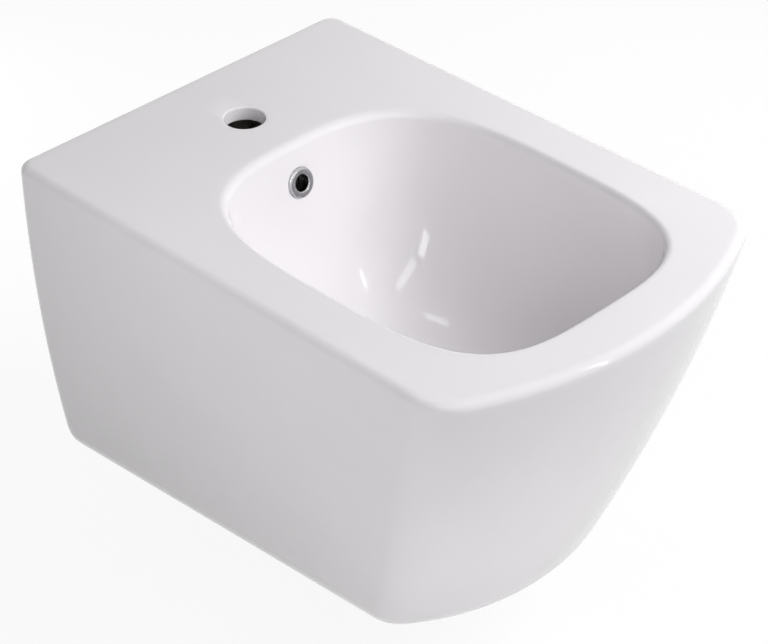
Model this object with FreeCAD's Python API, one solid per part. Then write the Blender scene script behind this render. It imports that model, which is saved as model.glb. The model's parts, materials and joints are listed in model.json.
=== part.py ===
import FreeCAD, Part
import math
import os

# Wall-hung bidet of glazed vitreous china, with its overflow, press-to-close waste,
# bottle trap and wall fixings.
# Millimetres. The origin lies on the wall plane midway between the two wall studs.
# +Z is up, +Y points into the wall, and the user sits on the -Y side.

# Outside of the ceramic body
BODY_WIDTH = 360.0
BODY_DEPTH = 520.0
BODY_HEIGHT = 315.0
RIM_ABOVE_STUDS = 80.0
SIDE_DRAW_IN = 31.0
FRONT_RAKE = 67.0
FRONT_DRAW_IN = 34.5
BASE_TAPER = 21.5
FRONT_BOW = 49.0
FRONT_CORNER_AT_RIM = 45.0
FRONT_CORNER_AT_BASE = 36.0
REAR_CORNER = 14.0
TOP_EDGE = 7.5
BASE_EDGE = 37.0
BACK_GRINDING = 0.5

# Thicknesses of the ceramic
OUTER_WALL = 11.0
DECK = 12.0
BOWL_WALL = 11.0
BACK_WALL = 15.0
BASE_FLANGE = 11.0

# Bowl
RIM_AT_SIDES = 50.0
RIM_AT_FRONT = 51.0
REAR_DECK = 138.5
BOWL_DEPTH = 166.0
BOWL_LIP_HEIGHT = 7.0
BOWL_LIP_FRONT = 7.0
BOWL_LIP_SIDES = 5.0
BOWL_LIP_REAR = 9.0
BOWL_REAR_SLOPE = 0.2
BOWL_SQUARENESS_REAR = 3.05
BOWL_SQUARENESS_FRONT = 3.65
BOWL_FULLNESS = 2.4
BOWL_LAST_ANGLE = 78.0

# Tap hole in the rear deck
TAP_FROM_WALL = 80.0
TAP_HOLE_DIAMETER = 35.0
TAP_HOLE_EDGE = 2.5

# Overflow
OVERFLOW_BELOW_RIM = 34.0
OVERFLOW_HOLE_DIAMETER = 22.0
OVERFLOW_RING_DIAMETER = 26.5
OVERFLOW_RING_BORE = 14.4
OVERFLOW_RING_PROUD = 3.4
OVERFLOW_RING_EDGE = 1.3
OVERFLOW_SPIGOT = 9.0
OVERFLOW_SPIGOT_WALL = 1.2
OVERFLOW_SLEEVE_LENGTH = 12.0
OVERFLOW_SEAT_SINK = 0.8
DUCT_WIDTH = 30.0
DUCT_DEPTH = 13.0
DUCT_WALL = 8.0
DUCT_HEADROOM = 4.0

# Drain in the bowl floor
DRAIN_FROM_WALL = 285.0
DRAIN_HOLE_DIAMETER = 46.0
DRAIN_SEAT_SINK = 3.0
DRAIN_SEAT_MARGIN = 1.0
DRAIN_BOSS_DIAMETER = 84.0
DRAIN_BOSS_LENGTH = 34.0
OVERFLOW_PORT_BELOW_FLOOR = 17.0

# Back and underside of the ceramic body
WINDOW_WIDTH = 124.0
WINDOW_TOP_BELOW_STUDS = 55.0
WINDOW_CORNER = 20.0
UNDERSIDE_WIDTH = 156.0
UNDERSIDE_FRONT_MARGIN = 20.0
UNDERSIDE_CORNER = 30.0

# Wall fixings
STUD_SPACING = 180.0
STUD_DIAMETER = 12.0
STUD_THREAD_RELIEF = 0.4
STUD_IN_WALL = 60.0
STUD_SPARE_END = 14.0
STUD_PAD_DIAMETER = 64.0
STUD_PAD_DEPTH = 30.0
STUD_HOLE_DIAMETER = 22.0
STUD_SLEEVE_FLANGE_DIAMETER = 36.0
STUD_SLEEVE_FLANGE = 4.0
STUD_SLEEVE_SHORT = 1.0
STUD_WASHER_DIAMETER = 34.0
STUD_WASHER = 2.5
STUD_NUT_ACROSS_FLATS = 19.0
STUD_NUT_HEIGHT = 10.0

# Waste
FLANGE_DIAMETER = 63.0
FLANGE_EDGE = 2.2
FLANGE_CROWN = 1.4
FLANGE_GASKET = 1.5
FLANGE_GASKET_INSET = 1.5
FLANGE_MOUTH_DIAMETER = 46.0
FLANGE_SEAT_DEPTH = 9.0
TAIL_DIAMETER = 41.9
TAIL_BORE = 36.0
TAIL_LENGTH = 59.0
TAIL_SLOT_WIDTH = 14.0
TAIL_SLOT_HEIGHT = 9.0
SPIDER_ARM_COUNT = 3
SPIDER_ARM_WIDTH = 3.0
SPIDER_HEIGHT = 7.0
SPIDER_HUB_WALL = 3.0
SPIDER_BELOW_SEAT = 9.0
TAIL_GASKET = 6.0
TAIL_GASKET_DIAMETER = 66.0
TAIL_GASKET_LIP = 3.0
TAIL_WASHER = 2.0
TAIL_WASHER_DIAMETER = 62.0
BACK_NUT_ACROSS_FLATS = 56.0
BACK_NUT_HEIGHT = 8.0

# Plug and its push mechanism
PLUG_TRAVEL = 9.0
PLUG_EDGE = 2.5
PLUG_CROWN = 1.6
PLUG_CLEARANCE = 0.4
PLUG_SEAL = 3.0
PLUG_HUB_DIAMETER = 14.0
PLUG_HUB_LENGTH = 6.0
PLUNGER_DIAMETER = 8.0
PLUNGER_RUNNING_CLEARANCE = 0.06
PISTON_DIAMETER = 12.0
PISTON_HEIGHT = 3.0
CARTRIDGE_DIAMETER = 18.0
CARTRIDGE_BORE = 13.0
CARTRIDGE_FLOOR = 2.0
CARTRIDGE_CAP_DIAMETER = 22.0
CARTRIDGE_CAP = 3.0
CARTRIDGE_CAP_SKIRT = 4.0
SPRING_WIRE = 1.0
SPRING_TURN_COUNT = 5
SPRING_CLOSED_LENGTH = 13.0
SPRING_SIDE_CLEARANCE = 0.4

# Bottle trap and outlet
TRAP_SEAL = 2.0
TRAP_COLLAR = 3.5
TRAP_NECK_DIAMETER = 36.0
TRAP_NECK_LENGTH = 6.0
TRAP_NUT_DIAMETER = 54.0
TRAP_NUT_ENGAGEMENT = 9.0
TRAP_NUT_LIP = 4.0
TRAP_DIAMETER = 60.0
TRAP_WALL = 3.0
TRAP_BARREL = 50.0
DIP_TUBE_DIAMETER = 31.0
DIP_TUBE_WALL = 1.6
DIP_TUBE_ABOVE_FLOOR = 8.0
CUP_DIAMETER = 69.0
CUP_OVERLAP = 8.0
CUP_DEPTH = 21.5
CUP_SEAL = 1.6
OUTLET_BELOW_BARREL_TOP = 20.0
OUTLET_PIPE_DIAMETER = 32.0
OUTLET_PIPE_WALL = 1.5
OUTLET_PIPE_PAST_WALL = 45.0
OUTLET_MARK_DEPTH = 0.3
OUTLET_MARK_WIDTH = 1.2
OUTLET_SPIGOT_DIAMETER = 40.0
OUTLET_SPIGOT_LENGTH = 28.0
OUTLET_NUT_DIAMETER = 50.0
OUTLET_NUT_ENGAGEMENT = 12.0
OUTLET_NUT_LIP = 4.0
OUTLET_SEAL = 5.0
ROSETTE_DIAMETER = 68.0
ROSETTE_HEIGHT = 9.0
ROSETTE_SHEET = 1.5

# Clearances between pieces that are pushed or screwed together
THREAD_CLEARANCE = 0.1
PUSH_CLEARANCE = 0.2
GRIP_RIB_COUNT = 20
GRIP_RIB_RADIUS = 2.0
GRIP_RIB_DEPTH = 0.9

# Level sections that each curved form is drawn through, and points around the bowl's outline
WALL_LEVEL_COUNT = 5
EDGE_LEVEL_COUNT = 6
BOWL_LEVEL_COUNT = 9
BOWL_POINT_COUNT = 48

# Larger than the whole body, and closer than two lengths that count as equal
FAR = 2000.0
SAME = 1e-6

# Levels and places that follow from the sizes
RIM_Z = RIM_ABOVE_STUDS
BASE_Z = RIM_Z - BODY_HEIGHT
FLOOR_Z = RIM_Z - BOWL_DEPTH
BOWL_HALF_WIDTH = BODY_WIDTH / 2 - RIM_AT_SIDES
BOWL_REAR_Y = -REAR_DECK
BOWL_FRONT_Y = -(BODY_DEPTH - RIM_AT_FRONT)
BOWL_HALF_LENGTH = (BOWL_REAR_Y - BOWL_FRONT_Y) / 2
BOWL_MIDDLE_Y = (BOWL_REAR_Y + BOWL_FRONT_Y) / 2
BOWL_CURVE_DEPTH = BOWL_DEPTH / math.sin(math.radians(BOWL_LAST_ANGLE))
DRAIN_Y = -DRAIN_FROM_WALL
DRAIN_SEAT_Z = FLOOR_Z - DRAIN_SEAT_SINK
BOSS_END_Z = FLOOR_Z - DRAIN_BOSS_LENGTH
FLANGE_UNDER_Z = DRAIN_SEAT_Z + FLANGE_GASKET
FLANGE_TOP_Z = FLANGE_UNDER_Z + FLANGE_EDGE + FLANGE_CROWN
SEAT_END_Z = FLANGE_TOP_Z - FLANGE_SEAT_DEPTH
TAIL_END_Z = FLANGE_UNDER_Z - TAIL_LENGTH
SPIDER_TOP_Z = SEAT_END_Z - SPIDER_BELOW_SEAT
BARREL_TOP_Z = TAIL_END_Z - TRAP_SEAL - TRAP_COLLAR - TRAP_NECK_LENGTH
BARREL_END_Z = BARREL_TOP_Z - TRAP_BARREL
CUP_FLOOR_Z = BARREL_END_Z - CUP_DEPTH
OUTLET_Z = BARREL_TOP_Z - OUTLET_BELOW_BARREL_TOP
SPIGOT_END_Y = DRAIN_Y + TRAP_DIAMETER / 2 + OUTLET_SPIGOT_LENGTH
PORT_Z = FLOOR_Z - OVERFLOW_PORT_BELOW_FLOOR
STUD_PLACES = (-STUD_SPACING / 2, STUD_SPACING / 2)
Z_AXIS = FreeCAD.Vector(0, 0, 1)
X_AXIS = FreeCAD.Vector(1, 0, 0)


def vec(x, y, z):
    return FreeCAD.Vector(x, y, z)


def mirrored(point):
    return vec(-point.x, point.y, point.z)


def turned(profile):
    """Solid turned about the Z axis from a closed outline of (radius, height) points."""
    points = [vec(radius, 0, height) for radius, height in profile]
    face = Part.Face(Part.makePolygon(points + points[:1]))
    return face.revolve(vec(0, 0, 0), Z_AXIS, 360)


def tube(inner, outer, low, high):
    return turned([(inner, low), (outer, low), (outer, high), (inner, high)])


def rod(radius, low, high):
    return Part.makeCylinder(radius, high - low, vec(0, 0, low))


def at_drain(shape):
    """Carry a piece made about the Z axis to the drain's axis."""
    return shape.translated(vec(0, DRAIN_Y, 0))


def along_y(shape, x, z):
    """Lay a piece made along Z down so that its heights become distances along +Y."""
    laid = shape.rotated(vec(0, 0, 0), X_AXIS, -90)
    return laid.translated(vec(x, 0, z))


def hexagon(across_flats, low, high):
    """Hexagonal prism about Z whose corners are chamfered at both ends."""
    corner = across_flats / math.sqrt(3)
    points = [vec(corner * math.cos(math.radians(60 * i)), corner * math.sin(math.radians(60 * i)), low)
              for i in range(6)]
    prism = Part.Face(Part.makePolygon(points + points[:1])).extrude(vec(0, 0, high - low))
    flat = across_flats / 2
    drop = (corner - flat) / 2
    blank = turned([(0, low), (flat, low), (corner, low + drop),
                    (corner, high - drop), (flat, high), (0, high)])
    return prism.common(blank)


def ribbed(shape, diameter, low, high):
    """Cut finger grooves around a turned piece of this diameter."""
    reach = diameter / 2 - GRIP_RIB_DEPTH + GRIP_RIB_RADIUS
    grooves = []
    for i in range(GRIP_RIB_COUNT):
        turn = 2 * math.pi * i / GRIP_RIB_COUNT
        groove = rod(GRIP_RIB_RADIUS, low, high)
        grooves.append(groove.translated(vec(reach * math.cos(turn), reach * math.sin(turn), 0)))
    return shape.cut(Part.makeCompound(grooves))


def rounded_block(x_half, y_low, y_high, z_low, z_high, corner, along):
    """Box whose four edges along one axis are rounded."""
    block = Part.makeBox(2 * x_half, y_high - y_low, z_high - z_low, vec(-x_half, y_low, z_low))
    edges = []
    for edge in block.Edges:
        start, end = (v.Point for v in edge.Vertexes)
        if (end - start).cross(along).Length < SAME:
            edges.append(edge)
    return block.makeFillet(corner, edges)


def eased(radius, inset):
    """A corner's radius tightens as its outline moves in, but never to a point."""
    return radius ** 2 / (radius + inset)


def body_outline(z, inset, back_y, rear_radius):
    """Level outline of the body: straight sides, bowed front, rounded corners, moved in by inset.

    The body is at its full width and depth where the top edge starts to round over, and draws in below that.
    """
    drop = max(0.0, (RIM_Z - TOP_EDGE - z) / (BODY_HEIGHT - TOP_EDGE))
    half_rear = BODY_WIDTH / 2 - SIDE_DRAW_IN * drop ** 2 - inset
    half_front = half_rear - BASE_TAPER * drop
    depth = BODY_DEPTH - FRONT_RAKE * drop - FRONT_DRAW_IN * drop ** 2 - inset
    radius = eased(FRONT_CORNER_AT_RIM + (FRONT_CORNER_AT_BASE - FRONT_CORNER_AT_RIM) * drop, inset)
    bow_radius = (half_front ** 2 + FRONT_BOW ** 2) / (2 * FRONT_BOW)
    bow_centre = vec(0, bow_radius - depth, z)
    corner = vec(half_front, FRONT_BOW - depth, z)
    along = vec(half_rear - half_front, depth - FRONT_BOW, 0).normalize()
    inward = vec(-along.y, along.x, 0)

    # The front corner's centre lies one radius inside both the side and the bow.
    offset = corner + inward * radius - bow_centre
    half_b = offset.dot(along)
    run = -half_b - math.sqrt(half_b ** 2 - offset.dot(offset) + (bow_radius - radius) ** 2)
    front_centre = corner + along * run + inward * radius
    side_start = corner + along * run
    bow_end = bow_centre + (front_centre - bow_centre).normalize() * bow_radius
    front_middle = front_centre + (side_start + bow_end - front_centre * 2).normalize() * radius

    # The rear corner's centre lies one radius inside both the side and the back.
    rear_run = (back_y - rear_radius - corner.y - inward.y * rear_radius) / along.y
    side_end = corner + along * rear_run
    rear_centre = side_end + inward * rear_radius
    back_end = vec(rear_centre.x, back_y, z)
    rear_middle = rear_centre + (side_end + back_end - rear_centre * 2).normalize() * rear_radius

    nose = vec(0, -depth, z)
    edges = [
        Part.LineSegment(mirrored(back_end), back_end),
        Part.Arc(back_end, rear_middle, side_end),
        Part.LineSegment(side_end, side_start),
        Part.Arc(side_start, front_middle, bow_end),
        Part.Arc(bow_end, nose, mirrored(bow_end)),
        Part.Arc(mirrored(bow_end), mirrored(front_middle), mirrored(side_start)),
        Part.LineSegment(mirrored(side_start), mirrored(side_end)),
        Part.Arc(mirrored(side_end), mirrored(rear_middle), mirrored(back_end)),
    ]
    return Part.Wire([edge.toShape() for edge in edges])


def spread(low, high, count):
    return [low + (high - low) * i / (count - 1) for i in range(count)]


QUARTER = [math.radians(angle) for angle in spread(0, 90, EDGE_LEVEL_COUNT)]


def outer_form():
    """Outside of the body: a drawn-in middle between a rounded base edge and a rounded top edge."""
    back = BACK_GRINDING
    levels = spread(RIM_Z - TOP_EDGE, BASE_Z + BASE_EDGE, WALL_LEVEL_COUNT)
    middle = [body_outline(z, 0, back, REAR_CORNER) for z in levels]
    top = []
    for angle in reversed(QUARTER):
        inset = TOP_EDGE * (1 - math.cos(angle))
        z = RIM_Z - TOP_EDGE * (1 - math.sin(angle))
        top.append(body_outline(z, inset, back - inset, eased(REAR_CORNER, inset)))
    base = []
    for angle in QUARTER:
        inset = BASE_EDGE * (1 - math.cos(angle))
        z = BASE_Z + BASE_EDGE * (1 - math.sin(angle))
        base.append(body_outline(z, inset, back, REAR_CORNER))
    form = Part.makeLoft(middle, True, False)
    form = form.fuse([Part.makeLoft(top, True, False), Part.makeLoft(base, True, False)])
    behind = Part.makeBox(FAR, FAR, FAR, vec(-FAR / 2, 0, -FAR / 2))
    return form.cut(behind)


def inner_form():
    """Hollow inside the walls, rounded along its floor, from the base flange up to the deck."""
    low = BASE_Z + BASE_FLANGE
    high = RIM_Z - DECK
    radius = BASE_EDGE - OUTER_WALL
    levels = spread(high, low + radius, WALL_LEVEL_COUNT)
    middle = [body_outline(z, OUTER_WALL, -BACK_WALL, REAR_CORNER) for z in levels]
    base = []
    for angle in QUARTER:
        inset = OUTER_WALL + radius * (1 - math.cos(angle))
        z = low + radius * (1 - math.sin(angle))
        base.append(body_outline(z, inset, -BACK_WALL, REAR_CORNER))
    return Part.makeLoft(middle, True, False).fuse(Part.makeLoft(base, True, False))


def bowl_section(angle, thickness):
    """Level section of the bowl: angle runs from 0 at the rim to a right angle at the drain.

    The rear wall slopes forward below the rim, and the slope fades out towards the drain.
    Returns the section's height, middle, half length, half width and squareness rear and front.
    """
    shrink = math.cos(angle) ** (2 / BOWL_FULLNESS)
    depth = (BOWL_CURVE_DEPTH + thickness) * math.sin(angle)
    forward = BOWL_REAR_SLOPE * depth * (1 - math.sin(angle))
    half_width = BOWL_HALF_WIDTH * shrink + thickness * math.cos(angle)
    half_length = BOWL_HALF_LENGTH * shrink + thickness * math.cos(angle) - forward / 2
    middle = BOWL_MIDDLE_Y + (DRAIN_Y - BOWL_MIDDLE_Y) * (1 - shrink) - forward / 2
    rear = 2 + (BOWL_SQUARENESS_REAR - 2) * shrink
    front = 2 + (BOWL_SQUARENESS_FRONT - 2) * shrink
    return RIM_Z - depth, middle, half_length, half_width, rear, front


def bowl_wire(z, middle, half_length, half_width, rear, front):
    """Closed smooth outline of a bowl section, as a squared oval."""
    points = []
    for i in range(BOWL_POINT_COUNT):
        turn = 2 * math.pi * i / BOWL_POINT_COUNT
        across = math.cos(turn)
        along = math.sin(turn)
        power = rear if along > 0 else front
        reach = (abs(across / half_width) ** power + abs(along / half_length) ** power) ** (-1 / power)
        points.append(vec(reach * across, middle + reach * along, z))
    curve = Part.BSplineCurve()
    curve.interpolate(Points=points, PeriodicFlag=True)
    return Part.Wire([curve.toShape()])


def bowl_form(thickness):
    """Solid inside the bowl, or with a thickness the solid that the bowl's outside bounds."""
    angles = spread(BOWL_LAST_ANGLE, 0, BOWL_LEVEL_COUNT)
    wires = [bowl_wire(*bowl_section(math.radians(angle), thickness)) for angle in angles]
    return Part.makeLoft(wires, True, False)


def bowl_lip_form():
    """Band that rounds the bowl's lip over into the flat rim, widest at the rear."""
    start = math.asin(BOWL_LIP_HEIGHT / BOWL_CURVE_DEPTH)
    middle, half_length, half_width, rear, front = bowl_section(start, 0)[1:]
    longer = (BOWL_LIP_REAR + BOWL_LIP_FRONT) / 2
    shift = (BOWL_LIP_REAR - BOWL_LIP_FRONT) / 2
    wires = []
    for angle in QUARTER:
        rolled = 1 - math.cos(angle)
        z = RIM_Z - BOWL_LIP_HEIGHT * (1 - math.sin(angle))
        wires.append(bowl_wire(z, middle + shift * rolled, half_length + longer * rolled,
                               half_width + BOWL_LIP_SIDES * rolled, rear, front))
    return Part.makeLoft(wires, True, False)


def rear_wall_point(below_rim):
    """Point of the bowl's rear wall in the middle plane, at a depth below the rim."""
    z, middle, half_length = bowl_section(math.asin(below_rim / BOWL_CURVE_DEPTH), 0)[:3]
    return vec(0, middle + half_length, z)


OVERFLOW_SPAN = OVERFLOW_RING_DIAMETER / 2
OVERFLOW_UP = (rear_wall_point(OVERFLOW_BELOW_RIM - OVERFLOW_SPAN)
               - rear_wall_point(OVERFLOW_BELOW_RIM + OVERFLOW_SPAN)).normalize()
OVERFLOW_AXIS = X_AXIS.cross(OVERFLOW_UP)
OVERFLOW_SEAT = rear_wall_point(OVERFLOW_BELOW_RIM) - OVERFLOW_AXIS * OVERFLOW_SEAT_SINK
DUCT_FRONT_Y = rear_wall_point(OVERFLOW_BELOW_RIM).y + BOWL_WALL
DUCT_TOP_Z = OVERFLOW_SEAT.z + OVERFLOW_HOLE_DIAMETER / 2 + DUCT_HEADROOM


def at_overflow(shape):
    """Carry a piece made about Z to the overflow, with +Z pointing out of the bowl's wall."""
    place = FreeCAD.Placement(OVERFLOW_SEAT, FreeCAD.Rotation(Z_AXIS, OVERFLOW_AXIS))
    moved = shape.copy()
    moved.Placement = place.multiply(shape.Placement)
    return moved


def overflow_duct(wall):
    """Upright and level legs of the cast duct from the overflow to the drain, grown by a wall."""
    half = DUCT_WIDTH / 2 + wall
    low = PORT_Z - DUCT_DEPTH / 2 - wall
    front = DUCT_FRONT_Y - wall
    rear = DUCT_FRONT_Y + DUCT_DEPTH + wall
    upright = Part.makeBox(2 * half, rear - front, DUCT_TOP_Z + wall - low, vec(-half, front, low))
    level = Part.makeBox(2 * half, rear - DRAIN_Y, DUCT_DEPTH + 2 * wall, vec(-half, DRAIN_Y, low))
    return upright.fuse(level)


def ways_out():
    """Window in the back for the pipes, and the opening in the underside that reaches the trap."""
    window = rounded_block(WINDOW_WIDTH / 2, -BACK_WALL - REAR_CORNER, BACK_WALL,
                           BASE_Z - BODY_HEIGHT, -WINDOW_TOP_BELOW_STUDS, WINDOW_CORNER, vec(0, 1, 0))
    front = DRAIN_Y - CUP_DIAMETER / 2 - UNDERSIDE_FRONT_MARGIN
    underside = rounded_block(UNDERSIDE_WIDTH / 2, front, -BACK_WALL,
                              BASE_Z - BASE_FLANGE, BASE_Z + BASE_EDGE, UNDERSIDE_CORNER, Z_AXIS)
    return window.fuse(underside)


def drain_form():
    """Hole through the boss and the sunk seat for the waste's flange."""
    seat_radius = FLANGE_DIAMETER / 2 + DRAIN_SEAT_MARGIN
    hole = rod(DRAIN_HOLE_DIAMETER / 2, BOSS_END_Z, DRAIN_SEAT_Z)
    return at_drain(hole.fuse(rod(seat_radius, DRAIN_SEAT_Z, FLOOR_Z + DRAIN_SEAT_SINK)))


def overflow_form():
    """Hole from the bowl's rear wall into the duct, with a flat spot for the ring."""
    hole = rod(OVERFLOW_HOLE_DIAMETER / 2, -BOWL_WALL - DUCT_DEPTH / 2, OVERFLOW_SEAT_SINK)
    spot = rod(OVERFLOW_RING_DIAMETER / 2 + PUSH_CLEARANCE, 0, OVERFLOW_RING_PROUD)
    return at_overflow(hole.fuse(spot)).fuse(overflow_duct(0))


def ceramic_body():
    """One hollow casting: outer walls, deck, bowl, drain boss, overflow duct and wall pads."""
    kept = bowl_form(BOWL_WALL).fuse(at_drain(rod(DRAIN_BOSS_DIAMETER / 2, BOSS_END_Z, FLOOR_Z)))
    kept = kept.fuse(overflow_duct(DUCT_WALL))
    kept = kept.fuse([along_y(rod(STUD_PAD_DIAMETER / 2, -STUD_PAD_DEPTH, 0), x, 0) for x in STUD_PLACES])
    hollow = inner_form().cut(kept).fuse(ways_out())
    body = outer_form().cut(bowl_form(0).fuse(bowl_lip_form())).cut(hollow)
    body = body.cut(drain_form()).cut(overflow_form())
    body = body.cut([along_y(rod(STUD_HOLE_DIAMETER / 2, -STUD_PAD_DEPTH, 0), x, 0) for x in STUD_PLACES])

    tap = rod(TAP_HOLE_DIAMETER / 2, RIM_Z - DECK, RIM_Z)
    body = body.cut(tap.translated(vec(0, -TAP_FROM_WALL, 0)))
    tap_edge = [edge for edge in body.Edges
                if isinstance(edge.Curve, Part.Circle)
                and abs(edge.Curve.Radius - TAP_HOLE_DIAMETER / 2) < SAME
                and abs(edge.Curve.Center.z - RIM_Z) < SAME]
    return body.makeFillet(TAP_HOLE_EDGE, tap_edge)


def overflow_ring():
    """Chrome ring: a rounded collar on the bowl's wall with a spigot that pushes into the sleeve."""
    bore = OVERFLOW_RING_BORE / 2
    edge = OVERFLOW_RING_EDGE
    outer = OVERFLOW_RING_DIAMETER / 2
    proud = OVERFLOW_RING_PROUD
    spigot = bore + OVERFLOW_SPIGOT_WALL
    collar = turned([(bore, 0), (outer, 0), (outer, proud - 2 * edge), (outer - 2 * edge, proud),
                     (bore + edge, proud), (bore, proud - edge)])
    return at_overflow(collar.fuse(tube(bore, spigot, -OVERFLOW_SPIGOT, 0)))


def overflow_sleeve():
    """Rubber sleeve that lines the overflow hole and grips the ring's spigot."""
    inner = OVERFLOW_RING_BORE / 2 + OVERFLOW_SPIGOT_WALL + PUSH_CLEARANCE
    outer = OVERFLOW_HOLE_DIAMETER / 2 - PUSH_CLEARANCE
    return at_overflow(tube(inner, outer, -OVERFLOW_SLEEVE_LENGTH, 0))


def waste_body():
    """Plated brass waste: domed flange, plug seat, slotted tail and the spider for the cartridge.

    The slots that let the overflow in lie between the spider's arms, and the first faces the duct.
    """
    tail = TAIL_DIAMETER / 2
    bore = TAIL_BORE / 2
    mouth = FLANGE_MOUTH_DIAMETER / 2
    rim = FLANGE_DIAMETER / 2
    shell = turned([(mouth, FLANGE_TOP_Z), (bore, SEAT_END_Z), (bore, TAIL_END_Z), (tail, TAIL_END_Z),
                    (tail, FLANGE_UNDER_Z), (rim, FLANGE_UNDER_Z), (rim, FLANGE_UNDER_Z + FLANGE_EDGE)])
    hub_bore = CARTRIDGE_DIAMETER / 2 + THREAD_CLEARANCE
    hub = hub_bore + SPIDER_HUB_WALL
    low = SPIDER_TOP_Z - SPIDER_HEIGHT
    slot = Part.makeBox(tail, TAIL_SLOT_WIDTH, TAIL_SLOT_HEIGHT,
                        vec(hub, -TAIL_SLOT_WIDTH / 2, PORT_Z - TAIL_SLOT_HEIGHT / 2))
    arm = Part.makeBox((bore + tail - hub_bore - hub) / 2, SPIDER_ARM_WIDTH, SPIDER_HEIGHT,
                       vec((hub_bore + hub) / 2, -SPIDER_ARM_WIDTH / 2, low))
    step = 360 / SPIDER_ARM_COUNT
    slots = [slot.rotated(vec(0, 0, 0), Z_AXIS, 90 + step * i) for i in range(SPIDER_ARM_COUNT)]
    arms = [arm.rotated(vec(0, 0, 0), Z_AXIS, 90 + step * (i + 0.5)) for i in range(SPIDER_ARM_COUNT)]
    spider = tube(hub_bore, hub, low, SPIDER_TOP_Z).fuse(arms)
    return at_drain(shell.cut(Part.makeCompound(slots)).fuse(spider))


def flange_gasket():
    inner = TAIL_DIAMETER / 2 + PUSH_CLEARANCE
    outer = FLANGE_DIAMETER / 2 - FLANGE_GASKET_INSET
    return at_drain(tube(inner, outer, DRAIN_SEAT_Z, FLANGE_UNDER_Z))


def tail_gasket():
    """Rubber gasket pressed against the boss, with a lip that enters the drain hole."""
    inner = TAIL_DIAMETER / 2 + THREAD_CLEARANCE
    lip = DRAIN_HOLE_DIAMETER / 2 - PUSH_CLEARANCE
    outer = TAIL_GASKET_DIAMETER / 2
    high = BOSS_END_Z
    low = high - TAIL_GASKET
    tip = high + TAIL_GASKET_LIP
    return at_drain(turned([(inner, low), (outer, low), (outer, high), (lip, high),
                            (inner + PUSH_CLEARANCE, tip), (inner, tip)]))


def tail_washer():
    inner = TAIL_DIAMETER / 2 + PUSH_CLEARANCE
    high = BOSS_END_Z - TAIL_GASKET
    return at_drain(tube(inner, TAIL_WASHER_DIAMETER / 2, high - TAIL_WASHER, high))


def back_nut():
    high = BOSS_END_Z - TAIL_GASKET - TAIL_WASHER
    low = high - BACK_NUT_HEIGHT
    bore = rod(TAIL_DIAMETER / 2 + THREAD_CLEARANCE, low, high)
    return at_drain(hexagon(BACK_NUT_ACROSS_FLATS, low, high).cut(bore))


def seat_radius_at(z):
    """Radius of the waste's conical plug seat at a height."""
    mouth = FLANGE_MOUTH_DIAMETER / 2
    bore = TAIL_BORE / 2
    return bore + (mouth - bore) * (z - SEAT_END_Z) / FLANGE_SEAT_DEPTH


PLUG_EDGE_Z = FLANGE_TOP_Z
PLUG_UNDER_Z = PLUG_EDGE_Z - PLUG_EDGE
PLUG_SEAL_END_Z = PLUG_UNDER_Z - PLUG_SEAL
PLUG_HUB_END_Z = PLUG_UNDER_Z - PLUG_HUB_LENGTH
CARTRIDGE_CAP_TOP_Z = SPIDER_TOP_Z + CARTRIDGE_CAP
PISTON_TOP_Z = SPIDER_TOP_Z - CARTRIDGE_CAP_SKIRT - PLUG_TRAVEL - PLUG_CLEARANCE
PISTON_END_Z = PISTON_TOP_Z - PISTON_HEIGHT
CARTRIDGE_FLOOR_Z = PISTON_END_Z - SPRING_CLOSED_LENGTH


def plug_cap():
    """Domed plug, closed flush with the flange, with a hub that screws onto the plunger."""
    top = seat_radius_at(PLUG_EDGE_Z) - PLUG_CLEARANCE
    under = seat_radius_at(PLUG_UNDER_Z) - PLUG_CLEARANCE
    hub = PLUG_HUB_DIAMETER / 2
    pin = PLUNGER_DIAMETER / 2 + PLUNGER_RUNNING_CLEARANCE
    crown = PLUG_CROWN
    profile = [(0, PLUG_UNDER_Z), (pin, PLUG_UNDER_Z), (pin, PLUG_HUB_END_Z), (hub, PLUG_HUB_END_Z),
               (hub, PLUG_UNDER_Z), (under, PLUG_UNDER_Z), (top, PLUG_EDGE_Z)]
    points = [vec(radius, 0, height) for radius, height in profile]
    ball = (top ** 2 + crown ** 2) / (2 * crown)
    shoulder = vec(top / 2, 0, PLUG_EDGE_Z + crown - ball + math.sqrt(ball ** 2 - top ** 2 / 4))
    dome = Part.Arc(points[-1], shoulder, vec(0, 0, PLUG_EDGE_Z + crown)).toShape()
    edges = [Part.LineSegment(a, b).toShape() for a, b in zip(points, points[1:])]
    edges.append(dome)
    edges.append(Part.LineSegment(vec(0, 0, PLUG_EDGE_Z + crown), points[0]).toShape())
    return at_drain(Part.Face(Part.Wire(edges)).revolve(vec(0, 0, 0), Z_AXIS, 360))


def plug_seal():
    """Tapered rubber ring under the plug that closes on the waste's seat."""
    inner = PLUG_HUB_DIAMETER / 2 + PUSH_CLEARANCE
    top = seat_radius_at(PLUG_UNDER_Z) - PLUG_CLEARANCE
    low = seat_radius_at(PLUG_SEAL_END_Z) - PLUG_CLEARANCE
    return at_drain(turned([(inner, PLUG_SEAL_END_Z), (low, PLUG_SEAL_END_Z),
                            (top, PLUG_UNDER_Z), (inner, PLUG_UNDER_Z)]))


def plunger():
    """Brass pin under the plug with the piston that rides in the cartridge."""
    pin = rod(PLUNGER_DIAMETER / 2, PISTON_TOP_Z, PLUG_UNDER_Z)
    return at_drain(pin.fuse(rod(PISTON_DIAMETER / 2, PISTON_END_Z, PISTON_TOP_Z)))


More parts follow.
